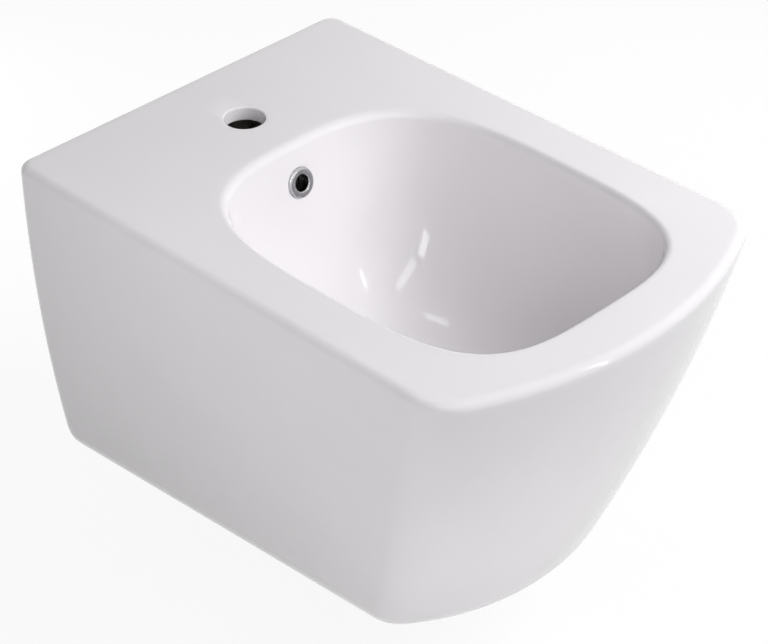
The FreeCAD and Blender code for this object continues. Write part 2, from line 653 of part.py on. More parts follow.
def cartridge_housing():
    """Cup screwed into the spider that holds the spring and guides the piston."""
    outer = CARTRIDGE_DIAMETER / 2
    bore = CARTRIDGE_BORE / 2
    low = CARTRIDGE_FLOOR_Z - CARTRIDGE_FLOOR
    cup = rod(outer, low, SPIDER_TOP_Z).cut(rod(bore, CARTRIDGE_FLOOR_Z, SPIDER_TOP_Z))
    return at_drain(cup)


def cartridge_cap():
    """Cap that closes the cartridge and guides the plunger."""
    pin = PLUNGER_DIAMETER / 2 + PLUNGER_RUNNING_CLEARANCE
    skirt = CARTRIDGE_BORE / 2 - THREAD_CLEARANCE
    outer = CARTRIDGE_CAP_DIAMETER / 2
    low = SPIDER_TOP_Z - CARTRIDGE_CAP_SKIRT
    return at_drain(turned([(pin, low), (skirt, low), (skirt, SPIDER_TOP_Z), (outer, SPIDER_TOP_Z),
                            (outer, CARTRIDGE_CAP_TOP_Z), (pin, CARTRIDGE_CAP_TOP_Z)]))


def tangent_arc(start, heading, end):
    """Arc that leaves start along heading and ends at end."""
    chord = end - start
    half = chord.Length / 2
    middle = (start + end) * 0.5
    side = chord.normalize()
    rise = heading - side * heading.dot(side)
    bend = math.acos(max(-1.0, min(1.0, heading.dot(side))))
    return Part.Arc(start, middle + rise.normalize() * half * math.tan(bend / 2), end).toShape()


def cartridge_spring():
    """Coil spring under the piston, one wire swept along arcs of half a quarter turn."""
    wire = SPRING_WIRE / 2
    radius = CARTRIDGE_BORE / 2 - SPRING_SIDE_CLEARANCE - wire
    low = CARTRIDGE_FLOOR_Z + wire
    pitch = (SPRING_CLOSED_LENGTH - SPRING_WIRE) / SPRING_TURN_COUNT
    slope = pitch / (2 * math.pi)
    stretch = math.hypot(radius, slope)
    quarter = math.pi / 2

    def on_coil(turn):
        return vec(radius * math.cos(turn), radius * math.sin(turn), low + slope * turn)

    def along_coil(turn):
        return vec(-radius * math.sin(turn), radius * math.cos(turn), slope) * (1 / stretch)

    edges = []
    for i in range(4 * SPRING_TURN_COUNT):
        start = on_coil(i * quarter)
        end = on_coil((i + 1) * quarter)
        leaving = along_coil(i * quarter)
        arriving = along_coil((i + 1) * quarter)
        chord = end - start
        both = leaving + arriving
        spare = 2 * (1 - leaving.dot(arriving))
        reach = (math.sqrt(chord.dot(both) ** 2 + spare * chord.dot(chord)) - chord.dot(both)) / spare
        joint = (start + end + (leaving - arriving) * reach) * 0.5
        edges.append(tangent_arc(start, leaving, joint))
        edges.append(tangent_arc(end, arriving * -1, joint))
    path = Part.Wire(edges)
    section = Part.Wire([Part.makeCircle(wire, on_coil(0), along_coil(0))])
    coil = path.makePipeShell([section], True, False)
    print("cartridge_spring least gap between turns", round(pitch - SPRING_WIRE, 2), "mm")
    return at_drain(coil)


TRAP_COLLAR_RADIUS = TAIL_DIAMETER / 2
TRAP_COLLAR_TOP_Z = TAIL_END_Z - TRAP_SEAL
TRAP_COLLAR_END_Z = TRAP_COLLAR_TOP_Z - TRAP_COLLAR


def trap_nut():
    """Union nut that draws the trap's collar up against the tail."""
    high = TAIL_END_Z + TRAP_NUT_ENGAGEMENT
    low = TRAP_COLLAR_END_Z - TRAP_NUT_LIP
    nut = rod(TRAP_NUT_DIAMETER / 2, low, high)
    nut = nut.cut(rod(TRAP_COLLAR_RADIUS + THREAD_CLEARANCE, TRAP_COLLAR_END_Z, high))
    nut = nut.cut(rod(TRAP_NECK_DIAMETER / 2 + PUSH_CLEARANCE, low, high))
    return at_drain(ribbed(nut, TRAP_NUT_DIAMETER, low, high))


def trap_seal():
    inner = TRAP_NECK_DIAMETER / 2 - TRAP_WALL
    return at_drain(tube(inner, TRAP_COLLAR_RADIUS, TRAP_COLLAR_TOP_Z, TAIL_END_Z))


def trap_body():
    """Bottle of the trap: collar, neck, barrel open below, and the outlet spigot towards the wall."""
    bore = DIP_TUBE_DIAMETER / 2 + THREAD_CLEARANCE
    neck = TRAP_NECK_DIAMETER / 2
    outer = TRAP_DIAMETER / 2
    inner = outer - TRAP_WALL
    under_top = BARREL_TOP_Z - TRAP_WALL
    shell = turned([(bore, TRAP_COLLAR_TOP_Z), (TRAP_COLLAR_RADIUS, TRAP_COLLAR_TOP_Z),
                    (TRAP_COLLAR_RADIUS, TRAP_COLLAR_END_Z), (neck, TRAP_COLLAR_END_Z), (neck, BARREL_TOP_Z),
                    (outer, BARREL_TOP_Z), (outer, BARREL_END_Z), (inner, BARREL_END_Z), (inner, under_top),
                    (bore, under_top)])
    pipe = OUTLET_PIPE_DIAMETER / 2
    passage = pipe - OUTLET_PIPE_WALL
    stop = DRAIN_Y + outer
    spigot = along_y(rod(OUTLET_SPIGOT_DIAMETER / 2, DRAIN_Y, SPIGOT_END_Y), 0, OUTLET_Z)
    spigot = spigot.cut(at_drain(rod(inner, BARREL_END_Z, BARREL_TOP_Z)))
    shell = at_drain(shell).fuse(spigot)
    shell = shell.cut(along_y(rod(passage, DRAIN_Y, SPIGOT_END_Y), 0, OUTLET_Z))
    return shell.cut(along_y(rod(pipe + PUSH_CLEARANCE, stop, SPIGOT_END_Y), 0, OUTLET_Z))


def dip_tube():
    """Tube pushed up into the trap's neck that carries water down below the seal's level."""
    outer = DIP_TUBE_DIAMETER / 2
    return at_drain(tube(outer - DIP_TUBE_WALL, outer, CUP_FLOOR_Z + DIP_TUBE_ABOVE_FLOOR, TRAP_COLLAR_TOP_Z))


def trap_cup():
    """Cleaning cup screwed over the barrel's lower end."""
    high = BARREL_END_Z + CUP_OVERLAP
    shoulder = BARREL_END_Z - CUP_SEAL
    low = CUP_FLOOR_Z - TRAP_WALL
    cup = rod(CUP_DIAMETER / 2, low, high)
    cup = cup.cut(rod(TRAP_DIAMETER / 2 + THREAD_CLEARANCE, shoulder, high))
    cup = cup.cut(rod(TRAP_DIAMETER / 2 - TRAP_WALL, CUP_FLOOR_Z, high))
    return at_drain(ribbed(cup, CUP_DIAMETER, low, high))


def cup_seal():
    outer = TRAP_DIAMETER / 2
    return at_drain(tube(outer - TRAP_WALL, outer, BARREL_END_Z - CUP_SEAL, BARREL_END_Z))


def outlet_nut():
    """Compression nut on the outlet spigot."""
    low = SPIGOT_END_Y - OUTLET_NUT_ENGAGEMENT
    seat = SPIGOT_END_Y + OUTLET_SEAL
    high = seat + OUTLET_NUT_LIP
    nut = rod(OUTLET_NUT_DIAMETER / 2, low, high)
    nut = nut.cut(rod(OUTLET_SPIGOT_DIAMETER / 2 + THREAD_CLEARANCE, low, seat))
    nut = nut.cut(rod(OUTLET_PIPE_DIAMETER / 2 + PUSH_CLEARANCE, low, high))
    return along_y(ribbed(nut, OUTLET_NUT_DIAMETER, low, high), 0, OUTLET_Z)


def outlet_seal():
    inner = OUTLET_PIPE_DIAMETER / 2 + THREAD_CLEARANCE
    ring = tube(inner, OUTLET_SPIGOT_DIAMETER / 2, SPIGOT_END_Y, SPIGOT_END_Y + OUTLET_SEAL)
    return along_y(ring, 0, OUTLET_Z)


def outlet_pipe():
    """Pipe from the trap into the wall, scored all round at the wall to show how far it goes in."""
    outer = OUTLET_PIPE_DIAMETER / 2
    start = DRAIN_Y + TRAP_DIAMETER / 2
    pipe = tube(outer - OUTLET_PIPE_WALL, outer, start, OUTLET_PIPE_PAST_WALL)
    mark = tube(outer - OUTLET_MARK_DEPTH, outer + OUTLET_MARK_DEPTH, 0, OUTLET_MARK_WIDTH)
    return along_y(pipe.cut(mark), 0, OUTLET_Z)


def wall_rosette():
    """Dished cover that slides along the pipe to the wall."""
    inner = OUTLET_PIPE_DIAMETER / 2 + PUSH_CLEARANCE
    outer = ROSETTE_DIAMETER / 2
    sheet = ROSETTE_SHEET
    high = ROSETTE_HEIGHT
    neck = inner + sheet
    profile = [(inner, -high), (neck, -high), (neck + sheet, -high / 2), (outer, -sheet), (outer, 0),
               (outer - sheet, 0), (neck + sheet, sheet - high / 2), (inner, sheet - high / 2)]
    return along_y(turned(profile), 0, OUTLET_Z)


STUD_SEAT_Y = -STUD_PAD_DEPTH
SLEEVE_FACE_Y = STUD_SEAT_Y - STUD_SLEEVE_FLANGE
WASHER_FACE_Y = SLEEVE_FACE_Y - STUD_WASHER
NUT_FACE_Y = WASHER_FACE_Y - STUD_NUT_HEIGHT


def stud_pair(make):
    """Two equal pieces, one on each stud's axis."""
    return Part.makeCompound([along_y(make(), x, 0) for x in STUD_PLACES])


def wall_stud():
    shank = STUD_DIAMETER / 2
    thread = (STUD_DIAMETER - STUD_THREAD_RELIEF) / 2
    return rod(shank, 0, STUD_IN_WALL).fuse(rod(thread, NUT_FACE_Y - STUD_SPARE_END, 0))


def stud_sleeve():
    inner = STUD_DIAMETER / 2 + PUSH_CLEARANCE
    outer = STUD_HOLE_DIAMETER / 2 - PUSH_CLEARANCE
    flange = STUD_SLEEVE_FLANGE_DIAMETER / 2
    return turned([(inner, SLEEVE_FACE_Y), (flange, SLEEVE_FACE_Y), (flange, STUD_SEAT_Y),
                   (outer, STUD_SEAT_Y), (outer, -STUD_SLEEVE_SHORT), (inner, -STUD_SLEEVE_SHORT)])


def stud_washer():
    return tube(STUD_DIAMETER / 2 + PUSH_CLEARANCE, STUD_WASHER_DIAMETER / 2, WASHER_FACE_Y, SLEEVE_FACE_Y)


def stud_nut():
    bore = (STUD_DIAMETER - STUD_THREAD_RELIEF) / 2 + THREAD_CLEARANCE
    nut = hexagon(STUD_NUT_ACROSS_FLATS, NUT_FACE_Y, WASHER_FACE_Y)
    return nut.cut(rod(bore, NUT_FACE_Y, WASHER_FACE_Y))


PIECES = {
    "ceramic_body": ceramic_body,
    "overflow_ring": overflow_ring,
    "overflow_sleeve": overflow_sleeve,
    "waste_body": waste_body,
    "flange_gasket": flange_gasket,
    "tail_gasket": tail_gasket,
    "tail_washer": tail_washer,
    "back_nut": back_nut,
    "plug_cap": plug_cap,
    "plug_seal": plug_seal,
    "plunger": plunger,
    "cartridge_housing": cartridge_housing,
    "cartridge_cap": cartridge_cap,
    "cartridge_spring": cartridge_spring,
    "trap_nut": trap_nut,
    "trap_seal": trap_seal,
    "trap_body": trap_body,
    "dip_tube": dip_tube,
    "trap_cup": trap_cup,
    "cup_seal": cup_seal,
    "outlet_nut": outlet_nut,
    "outlet_seal": outlet_seal,
    "outlet_pipe": outlet_pipe,
    "wall_rosette": wall_rosette,
    "wall_studs": lambda: stud_pair(wall_stud),
    "stud_sleeves": lambda: stud_pair(stud_sleeve),
    "stud_washers": lambda: stud_pair(stud_washer),
    "stud_nuts": lambda: stud_pair(stud_nut),
}

os.makedirs("parts", exist_ok=True)
for name, make in PIECES.items():
    shape = make()
    box = shape.BoundBox
    print(name, "valid", shape.isValid(), "solids", len(shape.Solids), "volume", round(shape.Volume, 1),
          "box", [round(v, 2) for v in (box.XMin, box.XMax, box.YMin, box.YMax, box.ZMin, box.ZMax)])
    shape.exportStep("parts/" + name + ".step")
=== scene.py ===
# %% [markdown]
# # A wall-hung bidet in white glazed china
# The object is one hollow casting of vitreous china, a chrome overflow ring, and the waste, trap and wall
# fixings that make it work. The exact parts come first, as a fixed frame in metres. Everything that is
# made below sits in the same frame, so nothing has to be fitted by eye.

# %% Load the exact parts
import json
import math

import bmesh
import bpy
import numpy as np
from mathutils import Matrix, Vector


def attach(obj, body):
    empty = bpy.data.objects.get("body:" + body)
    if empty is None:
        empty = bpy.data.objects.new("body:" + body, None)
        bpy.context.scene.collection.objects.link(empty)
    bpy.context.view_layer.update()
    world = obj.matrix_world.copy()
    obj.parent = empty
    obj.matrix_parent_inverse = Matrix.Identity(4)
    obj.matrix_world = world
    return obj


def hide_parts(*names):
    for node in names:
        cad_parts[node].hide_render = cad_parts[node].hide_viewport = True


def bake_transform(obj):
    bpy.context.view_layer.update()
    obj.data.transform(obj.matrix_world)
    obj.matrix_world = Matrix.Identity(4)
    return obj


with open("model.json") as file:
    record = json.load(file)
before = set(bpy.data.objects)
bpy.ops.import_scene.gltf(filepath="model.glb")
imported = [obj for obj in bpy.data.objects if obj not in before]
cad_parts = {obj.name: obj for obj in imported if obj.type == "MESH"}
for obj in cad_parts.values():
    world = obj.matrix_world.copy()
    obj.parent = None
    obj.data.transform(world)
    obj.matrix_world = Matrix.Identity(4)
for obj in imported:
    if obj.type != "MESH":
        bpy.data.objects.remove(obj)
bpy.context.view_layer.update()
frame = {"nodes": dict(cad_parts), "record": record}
scene = bpy.context.scene
MM = 0.001

# %% [markdown]
# ## Camera
# The photograph looks down on the front left corner through a long lens. The seat, the three turns and the
# focal length were worked out from the object's outline, so the render lines up with the photograph.

# %% Camera
CAMERA_SEAT = Vector((-1.2442, -1.4707, 1.1828))
CAMERA_HEADING = math.radians(45.386)
CAMERA_TILT = math.radians(35.12)
CAMERA_ROLL = math.radians(0.086)
CAMERA_LENS = 121.77
SENSOR_WIDTH = 36.0
camera = bpy.data.objects.new("camera", bpy.data.cameras.new("camera"))
camera.data.lens = CAMERA_LENS
camera.data.sensor_width = SENSOR_WIDTH
camera.matrix_world = (Matrix.Translation(CAMERA_SEAT)
                       @ Matrix.Rotation(-CAMERA_HEADING, 4, "Z")
                       @ Matrix.Rotation(math.pi / 2 - CAMERA_TILT, 4, "X")
                       @ Matrix.Rotation(CAMERA_ROLL, 4, "Z"))
scene.collection.objects.link(camera)
scene.camera = camera
print("camera", [round(v, 3) for v in CAMERA_SEAT], "lens", CAMERA_LENS)

# %% [markdown]
# ## The body's level outlines
# A slip-cast body is easiest to understand as a stack of level outlines: a straight back, small rear
# corners, straight sides, round front corners and a bowed front. A glossy glaze shows every facet, so the
# outlines are worked out point by point and later skinned with an even grid of quads, which shades far more
# evenly than the triangles of the exact model.

# %% Sizes of the casting, in millimetres
# The depth is a hair less than the exact 520, so that rounding puts no point in front of the exact body.
BODY_WIDTH = 360.0
BODY_DEPTH = 519.97
BODY_HEIGHT = 315.0
RIM = 80.0
BASE = RIM - BODY_HEIGHT
SIDE_DRAW_IN = 31.0
FRONT_RAKE = 67.0
FRONT_DRAW_IN = 34.5
BASE_TAPER = 21.5
FRONT_BOW = 49.0
FRONT_CORNER_RIM = 45.0
FRONT_CORNER_BASE = 36.0
REAR_CORNER = 14.0
TOP_EDGE = 7.5
BASE_EDGE = 37.0
OUTER_WALL = 11.0
DECK = 12.0
BOWL_WALL = 11.0
BACK_WALL = 15.0
BASE_FLANGE = 11.0
GRINDING = 0.5
print("body", BODY_WIDTH, "wide,", BODY_DEPTH, "deep,", BODY_HEIGHT, "high, in mm")

# %% Points of one level outline
STEPS = {"back": 22, "rear corner": 6, "side": 76, "front corner": 14, "bow": 30}
HALF = sum(STEPS.values())


def unit(v):
    """Same direction with length 1."""
    return v / np.linalg.norm(v)


def along_line(a, b, count):
    """Evenly spaced points from a to b, without the first."""
    return a + (b - a) * np.linspace(0, 1, count + 1)[1:, None]


def along_bend(centre, a, b, count):
    """Points on the short arc from a to b about a centre, without the first."""
    start = math.atan2(*(a - centre)[::-1])
    turn = (math.atan2(*(b - centre)[::-1]) - start + math.pi) % (2 * math.pi) - math.pi
    angles = start + turn * np.linspace(0, 1, count + 1)[1:]
    radius = np.linalg.norm(a - centre)
    return centre + radius * np.column_stack([np.cos(angles), np.sin(angles)])


def both_halves(half):
    """Close a half ring that runs from the middle of the back to the middle of the front."""
    return np.vstack([half, half[-2:0:-1] * (-1, 1)])


def at_height(points, z):
    """Flat points lifted to a height."""
    return np.column_stack([points, np.full(len(points), z)])


def eased(radius, inset):
    """Radius of a corner that is drawn in by an inset: smaller, but never nothing."""
    return radius ** 2 / (radius + inset)


def body_ring(z, inset=0.0, back=GRINDING, rear=REAR_CORNER):
    """Outline of the body at a height, drawn in by an inset. What reaches past the wall is ground off."""
    drop = max(0.0, (RIM - TOP_EDGE - z) / (BODY_HEIGHT - TOP_EDGE))
    half_rear = BODY_WIDTH / 2 - SIDE_DRAW_IN * drop ** 2 - inset
    half_front = half_rear - BASE_TAPER * drop
    depth = BODY_DEPTH - FRONT_RAKE * drop - FRONT_DRAW_IN * drop ** 2 - inset
    radius = eased(FRONT_CORNER_RIM + (FRONT_CORNER_BASE - FRONT_CORNER_RIM) * drop, inset)
    bow_radius = (half_front ** 2 + FRONT_BOW ** 2) / (2 * FRONT_BOW)
    bow_centre = np.array([0, bow_radius - depth])
    corner = np.array([half_front, FRONT_BOW - depth])
    along = unit(np.array([half_rear - half_front, depth - FRONT_BOW]))
    inward = np.array([-along[1], along[0]])
    offset = corner + inward * radius - bow_centre
    lean = offset @ along
    run = -lean - math.sqrt(lean ** 2 - offset @ offset + (bow_radius - radius) ** 2)
    front_centre = corner + along * run + inward * radius
    bow_end = bow_centre + unit(front_centre - bow_centre) * bow_radius
    rear_run = (back - rear - corner[1] - inward[1] * rear) / along[1]
    side_end = corner + along * rear_run
    rear_centre = side_end + inward * rear
    back_end = np.array([rear_centre[0], back])
    half = [np.array([[0.0, back]]),
            along_line(np.array([0.0, back]), back_end, STEPS["back"]),
            along_bend(rear_centre, back_end, side_end, STEPS["rear corner"]),
            along_line(side_end, corner + along * run, STEPS["side"]),
            along_bend(front_centre, corner + along * run, bow_end, STEPS["front corner"]),
            along_bend(bow_centre, bow_end, np.array([0.0, -depth]), STEPS["bow"])]
    ring = both_halves(np.vstack(half))
    ring[:, 1] = np.minimum(ring[:, 1], 0.0)
    return at_height(ring, z)


print("points in a ring", len(body_ring(RIM - TOP_EDGE)))

# %% [markdown]
# ## The bowl's level outlines
# The bowl is a squared oval that shrinks and rounds off as it goes down to the drain. It could be cut out of
# the body with a solid, but that leaves a ragged edge at the rim, where the light is sharpest. Rings with as
# many points as the body's join on without a seam. The same formula with a wall's thickness added gives the
# bowl's underside inside the casting.

# %% Bowl rings
RIM_AT_SIDES = 50.0
RIM_AT_FRONT = 51.0
REAR_DECK = 138.5
BOWL_DEPTH = 166.0
LIP = {"height": 7.0, "front": 7.0, "sides": 5.0, "rear": 9.0}
REAR_SLOPE = 0.2
SQUARENESS_REAR = 3.05
SQUARENESS_FRONT = 3.65
FULLNESS = 2.4
LAST_ANGLE = 78.0
DRAIN_Y = -285.0
FLOOR = RIM - BOWL_DEPTH
BOWL_HALF_WIDTH = BODY_WIDTH / 2 - RIM_AT_SIDES
BOWL_HALF_LENGTH = (BODY_DEPTH - RIM_AT_FRONT - REAR_DECK) / 2
BOWL_MIDDLE = -REAR_DECK - BOWL_HALF_LENGTH
CURVE_DEPTH = BOWL_DEPTH / math.sin(math.radians(LAST_ANGLE))
LIP_START = math.asin(LIP["height"] / CURVE_DEPTH)
HALF_TURN = np.linspace(math.pi / 2, -math.pi / 2, HALF + 1)
TURNS = np.concatenate([HALF_TURN, math.pi - HALF_TURN[-2:0:-1]])


def bowl_section(angle, wall=0.0):
    """Size of the bowl at an angle that runs from 0 at the rim to nearly a right angle at the drain."""
    shrink = math.cos(angle) ** (2 / FULLNESS)
    depth = (CURVE_DEPTH + wall) * math.sin(angle)
    forward = REAR_SLOPE * depth * (1 - math.sin(angle))
    return {"z": RIM - depth,
            "middle": BOWL_MIDDLE + (DRAIN_Y - BOWL_MIDDLE) * (1 - shrink) - forward / 2,
            "half_length": BOWL_HALF_LENGTH * shrink + wall * math.cos(angle) - forward / 2,
            "half_width": BOWL_HALF_WIDTH * shrink + wall * math.cos(angle),
            "rear": 2 + (SQUARENESS_REAR - 2) * shrink,
            "front": 2 + (SQUARENESS_FRONT - 2) * shrink}


def lip_section(angle):
    """Section of the rolled lip, from upright at 0 to level at a right angle."""
    section = bowl_section(LIP_START)
    rolled = 1 - math.cos(angle)
    section["z"] = RIM - LIP["height"] * (1 - math.sin(angle))
    section["middle"] += (LIP["rear"] - LIP["front"]) / 2 * rolled
    section["half_length"] += (LIP["rear"] + LIP["front"]) / 2 * rolled
    section["half_width"] += LIP["sides"] * rolled
    return section


def squared_oval(section):
    """Level ring of the bowl, with its own squareness at the rear and at the front."""
    across, along = np.cos(TURNS), np.sin(TURNS)
    power = np.where(along > 0, section["rear"], section["front"])
    reach = (np.abs(across / section["half_width"]) ** power
             + np.abs(along / section["half_length"]) ** power) ** (-1 / power)
    return at_height(np.column_stack([reach * across, section["middle"] + reach * along]), section["z"])


mouth = lip_section(math.pi / 2)
print("bowl mouth in mm", round(2 * mouth["half_width"]), "by", round(2 * mouth["half_length"]))

# %% Drain and doorway rings
DOORWAY = {"half_width": 78.0, "rear": -BACK_WALL - 2.0, "front": -339.5, "corner": 30.0}
CORNER_STEPS = 12


def drain_ring(radius, z):
    """Level circle about the drain's axis."""
    return at_height(np.column_stack([radius * np.cos(TURNS), DRAIN_Y + radius * np.sin(TURNS)]), z)


def doorway_ring(like, half_width, rear, front, corner, z):
    """Rounded rectangle whose points lie on the rays from its middle to those of another ring."""
    middle = np.array([0.0, (rear + front) / 2])
    half_length = (rear - front) / 2
    corners = [(half_width - corner, half_length - corner, 0), (corner - half_width, half_length - corner, 1),
               (corner - half_width, corner - half_length, 2), (half_width - corner, corner - half_length, 3)]
    loop = []
    for x, y, quarter in corners:
        turn = (quarter + np.linspace(0, 1, CORNER_STEPS + 1)) * math.pi / 2
        loop.append(np.column_stack([x + corner * np.cos(turn), y + corner * np.sin(turn)]))
    loop = np.vstack(loop + [loop[0][:1]])
    edges = np.diff(loop, axis=0)
    slack = 1e-9
    found = []
    for ray in like[:, :2] - middle:
        cross = ray[0] * edges[:, 1] - ray[1] * edges[:, 0]
        with np.errstate(divide="ignore", invalid="ignore"):
            far = (loop[:-1, 0] * edges[:, 1] - loop[:-1, 1] * edges[:, 0]) / cross
            side = (loop[:-1, 0] * ray[1] - loop[:-1, 1] * ray[0]) / cross
        hit = (far > 0) & (side > -slack) & (side < 1 + slack)
        found.append(middle + ray * far[hit].min())
    return at_height(np.array(found), z)


print("doorway in mm", 2 * DOORWAY["half_width"], "by", DOORWAY["rear"] - DOORWAY["front"])

# %% [markdown]
# ## Skinning the casting
# The whole casting is one closed skin: up from the drain through the bowl, over the lip, across the flat
# rim, over the top edge, down the outside, round the base, through the doorway in the underside, up the
# inside of the walls, under the deck and back down the outside of the bowl to the drain. Rings lie close
# together where the form turns quickly, so that the highlights on the edges stay thin and clean.

# %% Rings of the casting
SEAT_RADIUS = 32.5
DRAIN_RADIUS = 23.0
BOSS_RADIUS = 42.0
SEAT_LEVEL = FLOOR - 3.0
BOSS_END = FLOOR - 34.0
# Steps of the seat's rolled edge: outwards, and below the bowl's floor.
SEAT_ROLL = ((0.0, 1.2), (0.3, 0.4), (1.0, 0.0))
BOSS_PROFILE = ((BOSS_RADIUS + 2, FLOOR - 9), (BOSS_RADIUS, FLOOR - 12), (BOSS_RADIUS, BOSS_END + 1),
                (BOSS_RADIUS - 1, BOSS_END), (DRAIN_RADIUS, BOSS_END), (DRAIN_RADIUS, SEAT_LEVEL))
BOWL_START, OUTSIDE_END = math.radians(76), math.radians(74)
RINGS = {"bowl": 64, "side": 48, "hollow": 20, "bowl outside": 24}
QUARTER = np.linspace(0, math.pi / 2, 9)
BASE_BEND = np.linspace(0, math.pi / 2, 17)
HOLLOW_BEND = np.linspace(math.pi / 2, 0, 7)
ACROSS_RIM = (0.03, 0.1, 0.25, 0.5, 0.75, 0.9, 0.97)
ACROSS_BASE = (0.05, 0.3, 0.6, 0.95)
UP_DOORWAY = (0.1, 0.9, 1.0)
UNDER_DECK = (0.05, 0.3, 0.7, 0.95)


def between(first, last, shares):
    """Rings that lie part of the way from one ring to another."""
    return [first + (last - first) * share for share in shares]


def glazed_rings():
    """From the drain seat through the bowl, over the rim and down to the edge of the doorway below."""
    rings = [drain_ring(SEAT_RADIUS, SEAT_LEVEL)]
    rings += [drain_ring(SEAT_RADIUS + out, FLOOR - below) for out, below in SEAT_ROLL]
    rings += [squared_oval(bowl_section(a)) for a in np.linspace(BOWL_START, LIP_START, RINGS["bowl"])]
    rings += [squared_oval(lip_section(a)) for a in QUARTER[1:]]
    top = []
    for a in QUARTER[::-1]:
        level, inset = RIM - TOP_EDGE * (1 - math.sin(a)), TOP_EDGE * (1 - math.cos(a))
        top.append(body_ring(level, inset, GRINDING - inset, eased(REAR_CORNER, inset)))
    rings += between(rings[-1], top[0], ACROSS_RIM) + top
    rings += [body_ring(z) for z in np.linspace(RIM - TOP_EDGE, BASE + BASE_EDGE, RINGS["side"])[1:]]
    rings += [body_ring(BASE + BASE_EDGE * (1 - math.sin(a)), BASE_EDGE * (1 - math.cos(a)))
              for a in BASE_BEND[1:]]
    door = doorway_ring(rings[-1], z=BASE, **DOORWAY)
    return rings + between(rings[-1], door, ACROSS_BASE) + [door]


def bare_rings(door):
    """From the doorway up the inside of the walls and back down the outside of the bowl to the drain."""
    ledge = BASE + BASE_FLANGE
    rings = between(door, door + (0, 0, BASE_FLANGE), UP_DOORWAY)
    hollow_edge = BASE_EDGE - OUTER_WALL
    for a in HOLLOW_BEND:
        inset = OUTER_WALL + hollow_edge * (1 - math.cos(a))
        rings.append(body_ring(ledge + hollow_edge * (1 - math.sin(a)), inset, -BACK_WALL))
    levels = np.linspace(ledge + hollow_edge, RIM - DECK, RINGS["hollow"])
    rings += [body_ring(z, OUTER_WALL, -BACK_WALL) for z in levels[1:]]
    under = math.asin(DECK / (CURVE_DEPTH + BOWL_WALL))
    turns = np.linspace(under, OUTSIDE_END, RINGS["bowl outside"])
    outside = [squared_oval(bowl_section(a, BOWL_WALL)) for a in turns]
    rings += between(rings[-1], outside[0], UNDER_DECK) + outside
    return rings + [drain_ring(radius, z) for radius, z in BOSS_PROFILE]


glazed = glazed_rings()
all_rings = glazed + bare_rings(glazed[-1])
print("rings", len(all_rings), "of", len(all_rings[0]), "points")

# %% One skin through the rings
GLAZED, BARE = 0, 1


def piece_from(name, points, faces):
    """New object in the shared frame from points in millimetres."""
    mesh = bpy.data.meshes.new(name)
    mesh.from_pydata((np.asarray(points) * MM).tolist(), [], faces)
    mesh.validate()
    mesh.update()
    piece = bpy.data.objects.new(name, mesh)
    scene.collection.objects.link(piece)
    return piece


def skin(name, rings):
    """Closed skin of quads through rings that have the same number of points, joined last to first."""
    count = len(rings[0])
    faces = []
    for r in range(len(rings)):
        near, far = r * count, (r + 1) % len(rings) * count
        for i in range(count):
            k = (i + 1) % count
            faces.append((near + i, far + i, far + k, near + k))
    return piece_from(name, np.vstack(rings), faces)


def mark(piece, finish):
    """Note on a solid's faces whether they are glazed or bare clay."""
    piece.data.materials.append(None)
    piece.data.materials.append(None)
    piece.data.polygons.foreach_set("material_index", [finish] * len(piece.data.polygons))
    return piece


casting = mark(skin("china_body", all_rings), GLAZED)
for face in casting.data.polygons[len(all_rings[0]) * (len(glazed) - 1):]:
    face.material_index = BARE
print("casting", len(casting.data.vertices), "points", len(casting.data.polygons), "quads")

# %% [markdown]
# ## Holes, pads and the overflow duct
# Inside the casting a square duct leads the overflow down to the drain, and two round pads take the wall
# studs. They are joined on as solids. The tap hole, stud holes, overflow hole, duct and the window for the
# pipes are then cut out. The tap hole's cutter flares at the top like a trumpet, because a glazed edge is
# always rounded.

# %% Places of the holes, in millimetres
TAP_Y = -80.0
TAP_RADIUS = 17.5
TAP_EDGE = 1.2
STUD_X = 90.0
PAD = {"radius": 32.0, "depth": 30.0, "hole": 11.0}
WINDOW = {"half_width": 62.0, "top": -55.0, "corner": 20.0}
DUCT_HALF = 15.0
DUCT_DEPTH = 13.0
DUCT_WALL = 8.0
PORT_LEVEL = FLOOR - 17.0
OVERFLOW_BELOW = 34.0
OVERFLOW_HOLE = 11.0
OVERFLOW_SINK = 0.8
RING_RADIUS = 13.25
RING_CLEARANCE = 0.2
RECESS = 4.0
DUCT_HEADROOM = 4.0
TAP_FLARE = {"end": math.radians(75), "points": 8, "rise": 0.06}
CUT_PAST = 5.0
DRILL_PAST = 1.0


def rear_wall(below):
    """Point in the middle of the bowl's rear wall, a distance below the rim."""
    section = bowl_section(math.asin(below / CURVE_DEPTH))
    return Vector((0, section["middle"] + section["half_length"], section["z"]))


overflow_up = (rear_wall(OVERFLOW_BELOW - RING_RADIUS) - rear_wall(OVERFLOW_BELOW + RING_RADIUS)).normalized()
overflow_out = Vector((1, 0, 0)).cross(overflow_up)
overflow_seat = rear_wall(OVERFLOW_BELOW) - overflow_out * OVERFLOW_SINK
DUCT_FRONT = rear_wall(OVERFLOW_BELOW).y + BOWL_WALL
DUCT_TOP = overflow_seat.z + OVERFLOW_HOLE + DUCT_HEADROOM
print("overflow", round(RIM - overflow_seat.z, 1), "mm below the rim")

# %% Turned and straight solids
SAME_POINT = 0.001 * MM
AT_DRAIN = Matrix.Translation((0, DRAIN_Y, 0))
AT_OVERFLOW = Matrix.Translation(overflow_seat) @ overflow_out.to_track_quat("Z", "X").to_matrix().to_4x4()


def into_wall(x, z):
    """Place for a piece turned about Z, so that its heights become distances along +Y."""
    return Matrix.Translation((x, 0, z)) @ Matrix.Rotation(-math.pi / 2, 4, "X")


